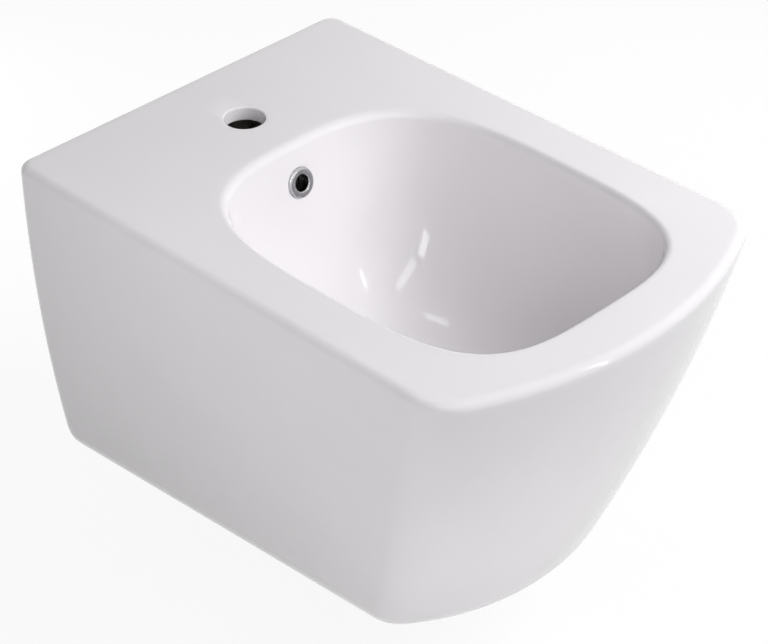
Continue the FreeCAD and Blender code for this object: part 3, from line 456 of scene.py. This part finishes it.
def settle(piece):
    """Merge points that coincide, drop faces without area and turn all faces outwards."""
    work = bmesh.new()
    work.from_mesh(piece.data)
    bmesh.ops.remove_doubles(work, verts=work.verts, dist=SAME_POINT)
    bmesh.ops.dissolve_degenerate(work, edges=work.edges, dist=SAME_POINT)
    bmesh.ops.recalc_face_normals(work, faces=work.faces)
    work.to_mesh(piece.data)
    work.free()
    return piece


def lathe(name, profile, place, segments=96):
    """Solid turned about Z from a closed profile of (radius, height) points, then put in its place."""
    rings = []
    for s in range(segments):
        turn = 2 * math.pi * s / segments
        rings.append([place @ Vector((r * math.cos(turn), r * math.sin(turn), h)) for r, h in profile])
    return settle(skin(name, rings))


def prism(name, outline, low, high, place):
    """Solid drawn straight along Z from a flat outline, then put in its place."""
    count = len(outline)
    points = [place @ Vector((x, y, level)) for level in (low, high) for x, y in outline]
    faces = [tuple(range(count))[::-1], tuple(range(count, 2 * count))]
    faces += [(i, (i + 1) % count, count + (i + 1) % count, count + i) for i in range(count)]
    return settle(piece_from(name, points, faces))


# %% Overflow duct, window and tap hole


def duct(name, wall):
    """L-shaped duct from the overflow down behind the bowl and forward to the drain.

    The bowl's wall leans back towards the rim, so the top of the duct stays behind a third of the wall.
    """
    low, high = PORT_LEVEL - DUCT_DEPTH / 2 - wall, DUCT_TOP + wall
    front, rear = DUCT_FRONT - wall, DUCT_FRONT + DUCT_DEPTH + wall
    front_top = max(front, rear_wall(RIM - high).y + BOWL_WALL / 3)
    step = PORT_LEVEL + DUCT_DEPTH / 2 + wall
    outline = [(DRAIN_Y, low), (rear, low), (rear, high), (front_top, high), (front, step), (DRAIN_Y, step)]
    upright = Matrix(((0, 0, 1, 0), (1, 0, 0, 0), (0, 1, 0, 0), (0, 0, 0, 1)))
    return prism(name, outline, -DUCT_HALF - wall, DUCT_HALF + wall, upright)


def window_outline():
    """Arch for the pipes, open at its foot."""
    half, top, corner = WINDOW["half_width"], WINDOW["top"], WINDOW["corner"]
    well_below = 2 * BASE
    turn = np.linspace(0, math.pi / 2, CORNER_STEPS + 1)
    right = [(half - corner + corner * math.cos(a), top - corner + corner * math.sin(a)) for a in turn]
    left = [(-x, z) for x, z in right[::-1]]
    return [(half, well_below)] + right + left + [(-half, well_below)]


def tap_profile():
    """Profile of the tap hole's cutter, flared where it meets the deck."""
    flare = [(TAP_RADIUS + TAP_EDGE * (1 - math.cos(a)), RIM - TAP_EDGE * (1 - math.sin(a)))
             for a in np.linspace(0, TAP_FLARE["end"], TAP_FLARE["points"])]
    wide, rise = TAP_RADIUS + TAP_EDGE, TAP_FLARE["rise"]
    below, above = RIM - DECK - CUT_PAST, RIM + CUT_PAST
    return [(0, below), (TAP_RADIUS, below)] + flare + [(wide, RIM + rise), (wide, above), (0, above)]


print("window", 2 * WINDOW["half_width"], "mm wide, tap hole", 2 * TAP_RADIUS, "mm")

# %% Joining and cutting


def joined(name, pieces):
    """One object that holds several solids which don't touch each other."""
    whole = bmesh.new()
    for piece in pieces:
        whole.from_mesh(piece.data)
        bpy.data.objects.remove(piece)
    mesh = bpy.data.meshes.new(name)
    mesh.materials.append(None)
    mesh.materials.append(None)
    whole.to_mesh(mesh)
    whole.free()
    result = bpy.data.objects.new(name, mesh)
    scene.collection.objects.link(result)
    return result


def work_in(piece, tool, how):
    """Join a solid to a piece or cut it out, and keep the result as the piece's own mesh."""
    step = piece.modifiers.new(how, "BOOLEAN")
    step.object = tool
    step.operation = how
    step.solver = "EXACT"
    ready = bpy.context.evaluated_depsgraph_get()
    mesh = bpy.data.meshes.new_from_object(piece.evaluated_get(ready))
    piece.modifiers.clear()
    piece.data = mesh
    bpy.data.objects.remove(tool)
    print(how.lower(), "leaves", len(mesh.polygons), "faces")


XZ_PLANE = Matrix.Rotation(math.pi / 2, 4, "X")
both_studs = (-STUD_X, STUD_X)


def round_bar(name, radius, low, high, place):
    """Plain cylinder between two heights."""
    return lathe(name, [(0, low), (radius, low), (radius, high), (0, high)], place)


pads = [round_bar("pad", PAD["radius"], -PAD["depth"], -BACK_WALL / 2, into_wall(x, 0)) for x in both_studs]
inner_solids = [mark(solid, BARE) for solid in [duct("duct_outside", DUCT_WALL)] + pads]
work_in(casting, joined("inner_solids", inner_solids), "UNION")

# %% Cutting the holes
stud_holes = [round_bar("stud_hole", PAD["hole"], -PAD["depth"] - DRILL_PAST, DRILL_PAST, into_wall(x, 0))
              for x in both_studs]
bare_cutters = [mark(solid, BARE) for solid in [duct("duct_inside", 0.0)] + stud_holes]
window = prism("window", window_outline(), -BACK_WALL, BACK_WALL + REAR_CORNER, XZ_PLANE)
tap = lathe("tap", tap_profile(), Matrix.Translation((0, TAP_Y, 0)))
work_in(casting, joined("cutters", bare_cutters + [mark(window, GLAZED), mark(tap, GLAZED)]), "DIFFERENCE")
drilled, ring_seat = -BOWL_WALL - DUCT_DEPTH / 2, RING_RADIUS + RING_CLEARANCE
overflow_drill = [(0, drilled), (OVERFLOW_HOLE, drilled), (OVERFLOW_HOLE, 0),
                  (ring_seat, 0), (ring_seat, RECESS), (0, RECESS)]
work_in(casting, mark(lathe("overflow_hole", overflow_drill, AT_OVERFLOW), GLAZED), "DIFFERENCE")

# %% [markdown]
# ## Glazed and bare faces
# Glaze is sprayed on from outside, so the hollow stays bare clay. The marks are turned into a number on each
# face, which the finish reads later. That keeps the casting one piece with one finish, as it is in the kiln.

# %% Hand the marks to the finish


def smooth(piece, sharp_over):
    """Shade a piece smoothly, except across edges that turn by more than an angle in degrees."""
    piece.data.shade_smooth()
    piece.data.set_sharp_from_angle(angle=math.radians(sharp_over))


faces = casting.data.polygons
bare = np.zeros(len(faces))
faces.foreach_get("material_index", bare)
casting.data.attributes.new("bare_clay_and_shade", "FLOAT", "FACE").data.foreach_set("value", bare)
faces.foreach_set("material_index", [0] * len(faces))
smooth(casting, sharp_over=32)
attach(casting, "bidet")
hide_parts("ceramic_body")
print("bare faces", int(bare.sum()), "of", len(faces))

# %% [markdown]
# ## Overflow ring
# The ring is a turned and plated brass collar with a rounded shoulder outside and a smaller one at its
# bore. A mirror finish shows its profile as thin bright and dark bands, so both shoulders are real arcs. It
# could be two bevelled cylinders, but turning one profile about an axis is how it is made in metal too.

# %% Overflow ring
RING = {"bore": 7.2, "proud": 3.4, "shoulder": 2.3, "inner_edge": 1.3, "spigot": 9.0, "spigot_wall": 1.2}


def arc(radius, height, size, start, end, steps=8):
    """Points of a quarter bend in a turned profile, about a centre at a radius and height."""
    turns = np.radians(np.linspace(start, end, steps + 1))
    return [(radius + size * math.cos(a), height + size * math.sin(a)) for a in turns]


def ring_profile():
    """From the spigot out along the seat, over the shoulder and into the bore."""
    bore, proud, outer = RING["bore"], RING["proud"], RING_RADIUS
    spigot = bore + RING["spigot_wall"]
    shoulder, edge = RING["shoulder"], RING["inner_edge"]
    return ([(bore, -RING["spigot"]), (spigot, -RING["spigot"]), (spigot, 0), (outer, 0)]
            + arc(outer - shoulder, proud - shoulder, shoulder, 0, 90)
            + arc(bore + edge, proud - edge, edge, 90, 180))


def turned_piece(name, profile, place, body, node, segments=128):
    """Turned piece that stands for a node of the exact model."""
    piece = lathe(name, profile, place, segments)
    smooth(piece, sharp_over=35)
    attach(piece, body)
    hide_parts(node)
    print(piece.name, len(piece.data.polygons), "faces")
    return piece


collar = turned_piece("overflow_collar", ring_profile(), AT_OVERFLOW,
                      "bidet", "overflow_ring")

# %% [markdown]
# ## Plug
# The plug is a shallow dome that lies flush in the waste when it is shut. Its edge is rolled, because a
# sharp plated edge would cut a hand. Under it a hub takes the pin that lifts it. It is turned from one
# profile like the ring, so the dome and the roll meet without a seam.

# %% Plug
PLUG = {"edge_level": -83.9, "crown": 1.6, "thick": 2.5, "top": 22.6, "under": 21.2, "pin": 4.1,
        "hub": 7.0, "hub_end": -92.4, "hub_edge": 0.4, "roll": 0.6, "roll_rise": 0.06, "dome_points": 20}


def plug_profile():
    """From the pin's hole round the hub, out along the underside, over the rolled edge and up the dome."""
    level, crown, top, roll = (PLUG[key] for key in ("edge_level", "crown", "top", "roll"))
    pin, hub, hub_end, hub_edge = (PLUG[key] for key in ("pin", "hub", "hub_end", "hub_edge"))
    under = level - PLUG["thick"]
    ball = (top ** 2 + crown ** 2) / (2 * crown)
    dome = [(r, level + crown - ball + math.sqrt(ball ** 2 - r ** 2))
            for r in np.linspace(top - roll, 0, PLUG["dome_points"])]
    return ([(0, under), (pin, under), (pin, hub_end), (hub - hub_edge, hub_end),
             (hub, hub_end + hub_edge), (hub, under), (PLUG["under"], under)]
            + arc(top - roll, level - roll + PLUG["roll_rise"], roll, 0, 90) + dome)


plug = turned_piece("plug_dome", plug_profile(), AT_DRAIN, "plug", "plug_cap")

# %% [markdown]
# ## Threaded studs
# The two studs are lengths of threaded rod, so each is one long screw thread. The radius follows a wave
# that climbs one pitch per turn, which is what a die cuts. A bumpy finish could fake it, but the outline of
# the rod would stay smooth. The crests keep to the size of the exact studs, and the part inside the sleeve
# and nut is a little thinner, as there.

# %% Threaded studs
THREAD = {"crest": 6.0, "inner_crest": 5.8, "depth": 0.95, "pitch": 1.75, "flank": 1.25, "flat": 0.125,
          "chamfer": 1.2, "wall_end": 60.0, "nut_end": -60.5}


def capped(name, rings):
    """Closed skin of quads through rings, with a flat face at each end."""
    count, last = len(rings[0]), (len(rings) - 1) * len(rings[0])
    faces = []
    for near in range(0, last, count):
        for i in range(count):
            k = (i + 1) % count
            faces.append((near + i, near + k, near + count + k, near + count + i))
    faces += [tuple(range(count))[::-1], tuple(range(last, last + count))]
    return piece_from(name, np.vstack(rings), faces)


def screw_thread(name, place, turns_round=40, steps_per_pitch=8):
    """Rod with a thread that has flat crests and roots, and a chamfer at each end."""
    low, high, pitch = THREAD["nut_end"], THREAD["wall_end"], THREAD["pitch"]
    heights = np.linspace(low, high, round((high - low) / pitch * steps_per_pitch) + 1)
    angles = np.linspace(0, 2 * math.pi, turns_round, endpoint=False)
    height, angle = np.meshgrid(heights, angles, indexing="ij")
    wave = np.abs(((height / pitch - angle / (2 * math.pi)) % 1.0) * 2 - 1)
    cut = THREAD["depth"] * np.clip(THREAD["flank"] * wave - THREAD["flat"], 0, 1)
    chamfer = np.clip(THREAD["chamfer"] - np.minimum(height - low, high - height), 0, THREAD["chamfer"])
    crest = np.where(height > 0, THREAD["crest"], THREAD["inner_crest"])
    radius = np.minimum(crest - cut, crest - chamfer)
    rings = np.stack([radius * np.cos(angle), radius * np.sin(angle), height], axis=-1)
    return capped(name, [[place @ Vector(point) for point in ring] for ring in rings])


studs = joined("threaded_studs", [screw_thread("stud", into_wall(x, 0)) for x in both_studs])
smooth(studs, sharp_over=50)
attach(studs, "bidet")
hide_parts("wall_studs")
print("studs", len(studs.data.polygons), "faces")

# %% [markdown]
# ## Spring
# The plug is lifted by a coil spring: round wire wound at a steady pitch. Its foot stands in the cartridge
# and its top presses on the piston, so it belongs to both bodies. The exact solid can't stretch, and left as
# it is, it would stay behind when the plug rises. Here the coil is made new; it is not attached to either
# body.

# %% Spring
SPRING = {"wire": 0.5, "coil": 5.6, "turns": 5, "foot": -131.3, "length": 13.0}


def coil_rings(steps_per_turn=36, round_wire=12):
    """Rings of points round the wire, square to the way it runs."""
    wire, coil = SPRING["wire"], SPRING["coil"]
    slope = (SPRING["length"] - 2 * wire) / (2 * math.pi * SPRING["turns"])
    around = np.linspace(0, 2 * math.pi, round_wire, endpoint=False)
    rings = []
    for turn in np.linspace(0, 2 * math.pi * SPRING["turns"], SPRING["turns"] * steps_per_turn + 1):
        outward = np.array([math.cos(turn), math.sin(turn), 0])
        onward = unit(np.array([-coil * math.sin(turn), coil * math.cos(turn), slope]))
        across = np.cross(onward, outward)
        middle = coil * outward + np.array([0, DRAIN_Y, SPRING["foot"] + wire + slope * turn])
        rings.append([middle + wire * (math.cos(a) * outward + math.sin(a) * across) for a in around])
    return rings


spring = capped("coil_spring", coil_rings())
smooth(spring, sharp_over=50)
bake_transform(spring)
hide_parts("cartridge_spring")
print("spring", len(spring.data.polygons), "faces")

# %% [markdown]
# ## Glaze over china
# Fired glaze is a thin glass coat: smooth and glossy, white with a faint rose cast, a little darker where it
# lies thick, with a very slight waviness. It could be one flat white, but then large faces look like paper.
# The hollow is bare fired clay, painted a dark grey-brown that stands for the shade inside the casting. The
# back is bare clay too, ground flat after firing to sit on the wall, and paler than the painted hollow. One
# finish
# carries all three: the marks on the faces choose the hollow, and the place chooses the back.

# %% Helpers for finishes
RAMP_ENDS = (0.3, 0.7)


def finish_of(name):
    """New material with its nodes, links and main shader."""
    material = bpy.data.materials.new(name)
    material.use_nodes = True
    nodes = material.node_tree.nodes
    return material, nodes, material.node_tree.links, nodes["Principled BSDF"]


def speckle(nodes, links, scale, detail=3.0, stretch=(1, 1, 1)):
    """Soft random pattern fixed to the object, with a number of lumps per metre."""
    where = nodes.new("ShaderNodeTexCoord")
    sized = nodes.new("ShaderNodeMapping")
    sized.inputs["Scale"].default_value = stretch
    noise = nodes.new("ShaderNodeTexNoise")
    noise.inputs["Scale"].default_value = scale
    noise.inputs["Detail"].default_value = detail
    links.new(where.outputs["Object"], sized.inputs["Vector"])
    links.new(sized.outputs["Vector"], noise.inputs["Vector"])
    return noise.outputs["Fac"]


def ramp(nodes, links, pattern, low, high):
    """Turn a pattern into a colour, or a grey that stands for a number, between two ends."""
    steps = nodes.new("ShaderNodeValToRGB")
    for step, position, colour in zip(steps.color_ramp.elements, RAMP_ENDS, (low, high)):
        step.position = position
        step.color = (*colour, 1)
    links.new(pattern, steps.inputs["Fac"])
    return steps.outputs["Color"]


def grey(value):
    """Colour with three equal parts."""
    return (value, value, value)


def choose(nodes, links, share, first, second):
    """Blend of two colours by a share that changes over the surface."""
    blend = nodes.new("ShaderNodeMix")
    blend.data_type = "RGBA"
    links.new(share, blend.inputs[0])
    links.new(first, blend.inputs[6])
    links.new(second, blend.inputs[7])
    return blend.outputs[2]


def relief(nodes, links, shader, pattern, height):
    """Fine unevenness in millimetres from a pattern."""
    bump = nodes.new("ShaderNodeBump")
    bump.inputs["Distance"].default_value = height * MM
    links.new(pattern, bump.inputs["Height"])
    links.new(bump.outputs["Normal"], shader.inputs["Normal"])


# %% Glaze
GLAZE_THICK, GLAZE_THIN = (0.853, 0.831, 0.852), (0.878, 0.855, 0.877)
# The hollow's bare clay is painted dark: painted shade for the inside of the casting.
SHADED_CLAY_DARK, SHADED_CLAY_PALE = (0.33, 0.31, 0.28), (0.42, 0.40, 0.37)
GROUND_DARK, GROUND_PALE = (0.60, 0.58, 0.54), (0.68, 0.66, 0.62)
GROUND_DEPTH = 0.05
GLAZE_ROUGH, CLAY_ROUGH = (0.05, 0.08), (0.8, 0.95)
GLAZE_IOR = 1.52
LUMPS = {"tone": 9.0, "gloss": 30.0, "wave": 48.0, "clay": 160.0, "chalk": 200.0}
CLAY_DETAIL, WAVE_DETAIL = 6.0, 1.0
WAVE_HEIGHT = 0.15


def marked_bare(nodes):
    """1 on the faces of the hollow, which were marked as bare clay; the finish also paints them dark as
    shade.
    """
    marks = nodes.new("ShaderNodeAttribute")
    marks.attribute_name = "bare_clay_and_shade"
    return marks.outputs["Fac"]


def ground_flat(nodes, links):
    """1 on the flat back, which is ground after firing."""
    place, split = nodes.new("ShaderNodeNewGeometry"), nodes.new("ShaderNodeSeparateXYZ")
    ground = nodes.new("ShaderNodeMath")
    ground.operation = "GREATER_THAN"
    ground.inputs[1].default_value = -GROUND_DEPTH * MM
    links.new(place.outputs["Position"], split.inputs["Vector"])
    links.new(split.outputs["Y"], ground.inputs[0])
    return ground.outputs[0]


def glaze():
    """Glaze, bare clay of the hollow painted dark as shade, and ground clay of the back in one material."""
    material, nodes, links, shader = finish_of("white_glaze")
    hollow, back = marked_bare(nodes), ground_flat(nodes, links)
    tone = ramp(nodes, links, speckle(nodes, links, LUMPS["tone"]), GLAZE_THICK, GLAZE_THIN)
    grain = speckle(nodes, links, LUMPS["clay"], CLAY_DETAIL)
    # Painted shade: the hollow's clay is coloured dark, so the tap hole and duct look shaded.
    clay = ramp(nodes, links, grain, SHADED_CLAY_DARK, SHADED_CLAY_PALE)
    ground = ramp(nodes, links, grain, GROUND_DARK, GROUND_PALE)
    coat = choose(nodes, links, hollow, tone, clay)
    links.new(choose(nodes, links, back, coat, ground), shader.inputs["Base Color"])
    gloss = ramp(nodes, links, speckle(nodes, links, LUMPS["gloss"]), *map(grey, GLAZE_ROUGH))
    chalky = ramp(nodes, links, speckle(nodes, links, LUMPS["chalk"]), *map(grey, CLAY_ROUGH))
    shine = choose(nodes, links, hollow, gloss, chalky)
    links.new(choose(nodes, links, back, shine, chalky), shader.inputs["Roughness"])
    relief(nodes, links, shader, speckle(nodes, links, LUMPS["wave"], WAVE_DETAIL), WAVE_HEIGHT)
    shader.inputs["IOR"].default_value = GLAZE_IOR
    return material


def dress(piece, material):
    """Give a piece one material all over."""
    piece.data.materials.clear()
    piece.data.materials.append(material)


dress(casting, glaze())
print("glaze on", casting.name)

# %% [markdown]
# ## Chrome, brass and zinc
# Chrome is a cool grey mirror, far darker than silver, so it shows what stands round it. Bare brass keeps
# the fine rings of the lathe, which is a pattern squeezed along the axis. Zinc plate is duller and slightly
# blue. Each gets its own pattern at its own scale, because one shared noise would make them all look like
# the same painted stuff.

# %% Metals
METAL_DETAIL = 4.0
DULLEST = 0.9
METAL_ROUGH_SPREAD = (0.7, 1.4)
LATHE_RINGS = (1, 1, 40)


def metal(name, colour, rough, scale, stretch=(1, 1, 1), height=0.0):
    """Bare or plated metal, with a pattern that varies its colour and shine."""
    material, nodes, links, shader = finish_of(name)
    pattern = speckle(nodes, links, scale, METAL_DETAIL, stretch)
    duller = tuple(DULLEST * c for c in colour)
    links.new(ramp(nodes, links, pattern, duller, colour), shader.inputs["Base Color"])
    shine = [grey(rough * spread) for spread in METAL_ROUGH_SPREAD]
    links.new(ramp(nodes, links, pattern, *shine), shader.inputs["Roughness"])
    shader.inputs["Metallic"].default_value = 1.0
    if height:
        relief(nodes, links, shader, pattern, height)
    return material


FINISHES = {"chrome_plate": metal("chrome_plate", (0.56, 0.565, 0.58), 0.05, 70.0),
            "bare_brass": metal("bare_brass", (0.72, 0.53, 0.26), 0.24, 60.0, LATHE_RINGS, 0.02),
            "zinc_steel": metal("zinc_steel", (0.60, 0.62, 0.65), 0.34, 220.0, height=0.01)}
print("metals", list(FINISHES))

# %% [markdown]
# ## Rubber and plastics
# Seals are matt black rubber, and the trap, pipe and sleeves are moulded plastic with the fine grain of the
# mould. A plain colour would do for pieces that are hardly seen, but from below and behind the grain and
# faint blotches keep them from looking like the glaze. All are one recipe with other numbers.

# %% Rubber and plastics
# Dark and pale colour, roughness, grains per metre and height of the grain in millimetres.
# The overflow sleeve is dressed in black_rubber too; its black is painted shade for the inside of the
# overflow hole.
PLASTICS = {"black_rubber": ((0.018, 0.018, 0.019), (0.032, 0.032, 0.033), 0.62, 900.0, 0.03),
            "white_plastic": ((0.76, 0.76, 0.74), (0.82, 0.82, 0.80), 0.38, 700.0, 0.015),
            "grey_plastic": ((0.30, 0.31, 0.32), (0.36, 0.37, 0.38), 0.42, 700.0, 0.015)}
GRAINS_PER_BLOTCH = 6
GRAIN_DETAIL = 5.0
PLASTIC_ROUGH_SPREAD = (0.85, 1.15)


def moulded(name, dark, pale, rough, scale, height):
    """Matt rubber or plastic with faint blotches and a fine grain."""
    material, nodes, links, shader = finish_of(name)
    blotches = speckle(nodes, links, scale / GRAINS_PER_BLOTCH)
    links.new(ramp(nodes, links, blotches, dark, pale), shader.inputs["Base Color"])
    grain = speckle(nodes, links, scale, GRAIN_DETAIL)
    shine = [grey(rough * spread) for spread in PLASTIC_ROUGH_SPREAD]
    links.new(ramp(nodes, links, grain, *shine), shader.inputs["Roughness"])
    relief(nodes, links, shader, grain, height)
    return material


for name, values in PLASTICS.items():
    FINISHES[name] = moulded(name, *values)
print("plastics", list(PLASTICS))

# %% Dress the pieces
dressed = {"overflow_ring": collar, "plug_cap": plug, "wall_studs": studs, "cartridge_spring": spring}
for entry in frame["record"]["subparts"]:
    if entry["material_slot"] in FINISHES:
        dress(dressed.get(entry["node"], frame["nodes"][entry["node"]]), FINISHES[entry["material_slot"]])
print("dressed with", list(FINISHES))

# %% [markdown]
# ## Floor
# The object was photographed against white. The floor is white to the camera and to mirror-like surfaces,
# but part of what the camera sees there is still lit paper, so the shadow of the object stays. To soft
# bounced light the floor is a plain grey, because a white one would light up the underside far too much.
# From below the paper is clear, so the underside can be looked at.

# %% Floor
FLOOR_LEVEL = -0.32
FLOOR_HALF = 8.0
floor_mesh = bpy.data.meshes.new("floor")
floor_mesh.from_pydata([(x * FLOOR_HALF, y * FLOOR_HALF, FLOOR_LEVEL)
                        for x, y in ((-1, -1), (1, -1), (1, 1), (-1, 1))], [], [(0, 1, 2, 3)])
floor = bpy.data.objects.new("floor", floor_mesh)
scene.collection.objects.link(floor)
print("floor at", FLOOR_LEVEL)

# %% Paper on the floor
PAPER_LIT = 0.95
PAPER_BOUNCE = 0.45
PAPER_WHITE_SHARE = 0.9


def seen_directly(nodes, links):
    """1 for rays from the camera, a mirror or glass, and 0 for soft light that bounces."""
    path = nodes.new("ShaderNodeLightPath")
    seen = path.outputs["Is Camera Ray"]
    for kind in ("Is Glossy Ray", "Is Transmission Ray"):
        either = nodes.new("ShaderNodeMath")
        either.operation = "MAXIMUM"
        links.new(seen, either.inputs[0])
        links.new(path.outputs[kind], either.inputs[1])
        seen = either.outputs[0]
    return seen


def paper():
    """White paper with a shadow to what sees it directly, grey to soft light and clear from below."""
    material = bpy.data.materials.new("paper")
    material.use_nodes = True
    nodes, links = material.node_tree.nodes, material.node_tree.links
    nodes.clear()
    lit = nodes.new("ShaderNodeBsdfDiffuse")
    lit.inputs["Color"].default_value = (*grey(PAPER_LIT), 1)
    white = nodes.new("ShaderNodeEmission")
    bounce = nodes.new("ShaderNodeBsdfDiffuse")
    bounce.inputs["Color"].default_value = (*grey(PAPER_BOUNCE), 1)
    pale = nodes.new("ShaderNodeMixShader")
    pale.inputs["Fac"].default_value = PAPER_WHITE_SHARE
    links.new(lit.outputs[0], pale.inputs[1])
    links.new(white.outputs[0], pale.inputs[2])
    whole = nodes.new("ShaderNodeMixShader")
    links.new(seen_directly(nodes, links), whole.inputs["Fac"])
    links.new(bounce.outputs[0], whole.inputs[1])
    links.new(pale.outputs[0], whole.inputs[2])
    side, clear = nodes.new("ShaderNodeNewGeometry"), nodes.new("ShaderNodeBsdfTransparent")
    sheet = nodes.new("ShaderNodeMixShader")
    links.new(side.outputs["Backfacing"], sheet.inputs["Fac"])
    links.new(whole.outputs[0], sheet.inputs[1])
    links.new(clear.outputs[0], sheet.inputs[2])
    links.new(sheet.outputs[0], nodes.new("ShaderNodeOutputMaterial").inputs["Surface"])
    return material


floor_mesh.materials.append(paper())
print("paper on", floor.name)

# %% [markdown]
# ## Room light
# The room is a white tent: plain white where the camera or a mirror sees it, and a weak even fill for soft
# light. A stronger fill would be the quick way to a bright picture, but it takes the modelling out of a
# white body, so most of the light comes from the lamps that follow.

# %% Room light
FILL = 0.02
world = bpy.data.worlds.new("studio")
scene.world = world
world.use_nodes = True
nodes, links = world.node_tree.nodes, world.node_tree.links
soft, plain_white = nodes["Background"], nodes.new("ShaderNodeBackground")
choice = nodes.new("ShaderNodeMixShader")
soft.inputs["Color"].default_value = (1, 1, 1, 1)
soft.inputs["Strength"].default_value = FILL
plain_white.inputs["Color"].default_value = (1, 1, 1, 1)
links.new(seen_directly(nodes, links), choice.inputs["Fac"])
links.new(soft.outputs[0], choice.inputs[1])
links.new(plain_white.outputs[0], choice.inputs[2])
links.new(choice.outputs[0], nodes["World Output"].inputs["Surface"])
print("fill", FILL)

# %% [markdown]
# ## Lamps
# Soft lamps stand round the object. The strongest is high on the front right, and two weaker ones stand high
# and low on the camera's side. A close lamp on the left makes that side darken downwards, two fill in from
# the right, one lights the back, and a small low card lifts the foot of the front corner. Glaze mirrors every
# lamp, and broad ones would show as squares in the bowl, so they are hidden from mirrored rays, as behind
# the cloth of the tent.

# %% Soft lamps
LIT_MIDDLE = Vector((0, -0.26, -0.05))
# Degrees round the object and above the level, distance and side in metres, power in watts.
LAMPS = {"right_front": (300, 45, 2.4, 1.4, 38.3), "camera_high": (240, 45, 2.4, 1.4, 6.0),
         "camera_low": (240, 20, 2.4, 1.4, 4.2), "left": (180, 19, 0.9, 0.5, 2.65),
         "right_rear": (330, 45, 1.2, 0.7, 3.5), "right": (20, 20, 1.2, 0.7, 3.6),
         "behind": (90, 0, 1.2, 0.5, 4.5)}
CARD_SEAT, CARD_AIM = (-0.2, -0.68, -0.31), (-0.08, -0.46, -0.1)
CARD_SIDE, CARD_POWER = 0.3, 0.75


def towards(around, above):
    """Direction from its angle round the object and its angle above the level, in degrees."""
    around, above = math.radians(around), math.radians(above)
    return Vector((math.cos(around) * math.cos(above), math.sin(around) * math.cos(above), math.sin(above)))


def softbox(name, seat, aim, width, height, power, mirrored=False, along=None):
    """Lamp that faces a point, its width level or along a given way, for soft light or for mirrors."""
    lamp = bpy.data.lights.new(name, "AREA")
    lamp.shape, lamp.size, lamp.size_y, lamp.energy = "RECTANGLE", width, height, power
    box = bpy.data.objects.new(name, lamp)
    back = (Vector(seat) - Vector(aim)).normalized()
    level = (along or Vector((0, 0, 1)).cross(back)).normalized()
    turn = Matrix((level, back.cross(level).normalized(), back)).transposed()
    box.matrix_world = Matrix.Translation(seat) @ turn.to_4x4()
    box.visible_glossy, box.visible_diffuse, box.visible_camera = mirrored, not mirrored, False
    scene.collection.objects.link(box)


for name, (around, above, reach, side, power) in LAMPS.items():
    softbox(name, LIT_MIDDLE + reach * towards(around, above), LIT_MIDDLE, side, side, power)
softbox("corner_card", CARD_SEAT, CARD_AIM, CARD_SIDE, CARD_SIDE, CARD_POWER)
print("lamps", list(LAMPS), "and a card")

# %% [markdown]
# ## Narrow lamps that the glaze mirrors
# Thin bright lines on a turned surface are what make it read as glaze: the streaks in the bowl and the glint
# on the front edge. Each is a narrow strip put where that place mirrors it. The strips give no soft light,
# so they can be moved without changing the tones. Painted streaks would be quicker, but they would stay put
# when the view changes.

# %% Narrow lamps that the glaze mirrors
STRIP_REACH = 2.4
# Place that mirrors the strip, its two ends as degrees round and above, width in metres, power in watts.
STRIPS = {"upper_streak": ((0.085, -0.207, -0.03), (204.5, 24.5), (211, 38), 0.26, 2.8),
          "lower_streak": ((0.065, -0.205, -0.045), (219, 41.5), (252, 56), 0.28, 3.2),
          "faint_streak": ((0.055, -0.19, -0.04), (254, 38), (271, 38), 0.12, 0.35),
          "bowl_floor": ((0.055, -0.245, -0.07), (172, 75), (137, 64), 0.2, 1.4),
          "front_edge": ((-0.08, -0.51, 0.08), (301, 38), (296, -2), 0.1, 3.8)}
for name, (place, start, end, width, power) in STRIPS.items():
    place = Vector(place)
    first, last = (place + STRIP_REACH * towards(*ends) for ends in (start, end))
    run = last - first
    softbox(name, (first + last) / 2, place, run.length, width, power, mirrored=True, along=run)
print("strips", list(STRIPS))

# %% [markdown]
# ## Look
# The picture is shown as it is, without a film curve, because a curve would grey the white ground and flatten
# the pale body.

# %% Look
scene.view_settings.view_transform = "Standard"
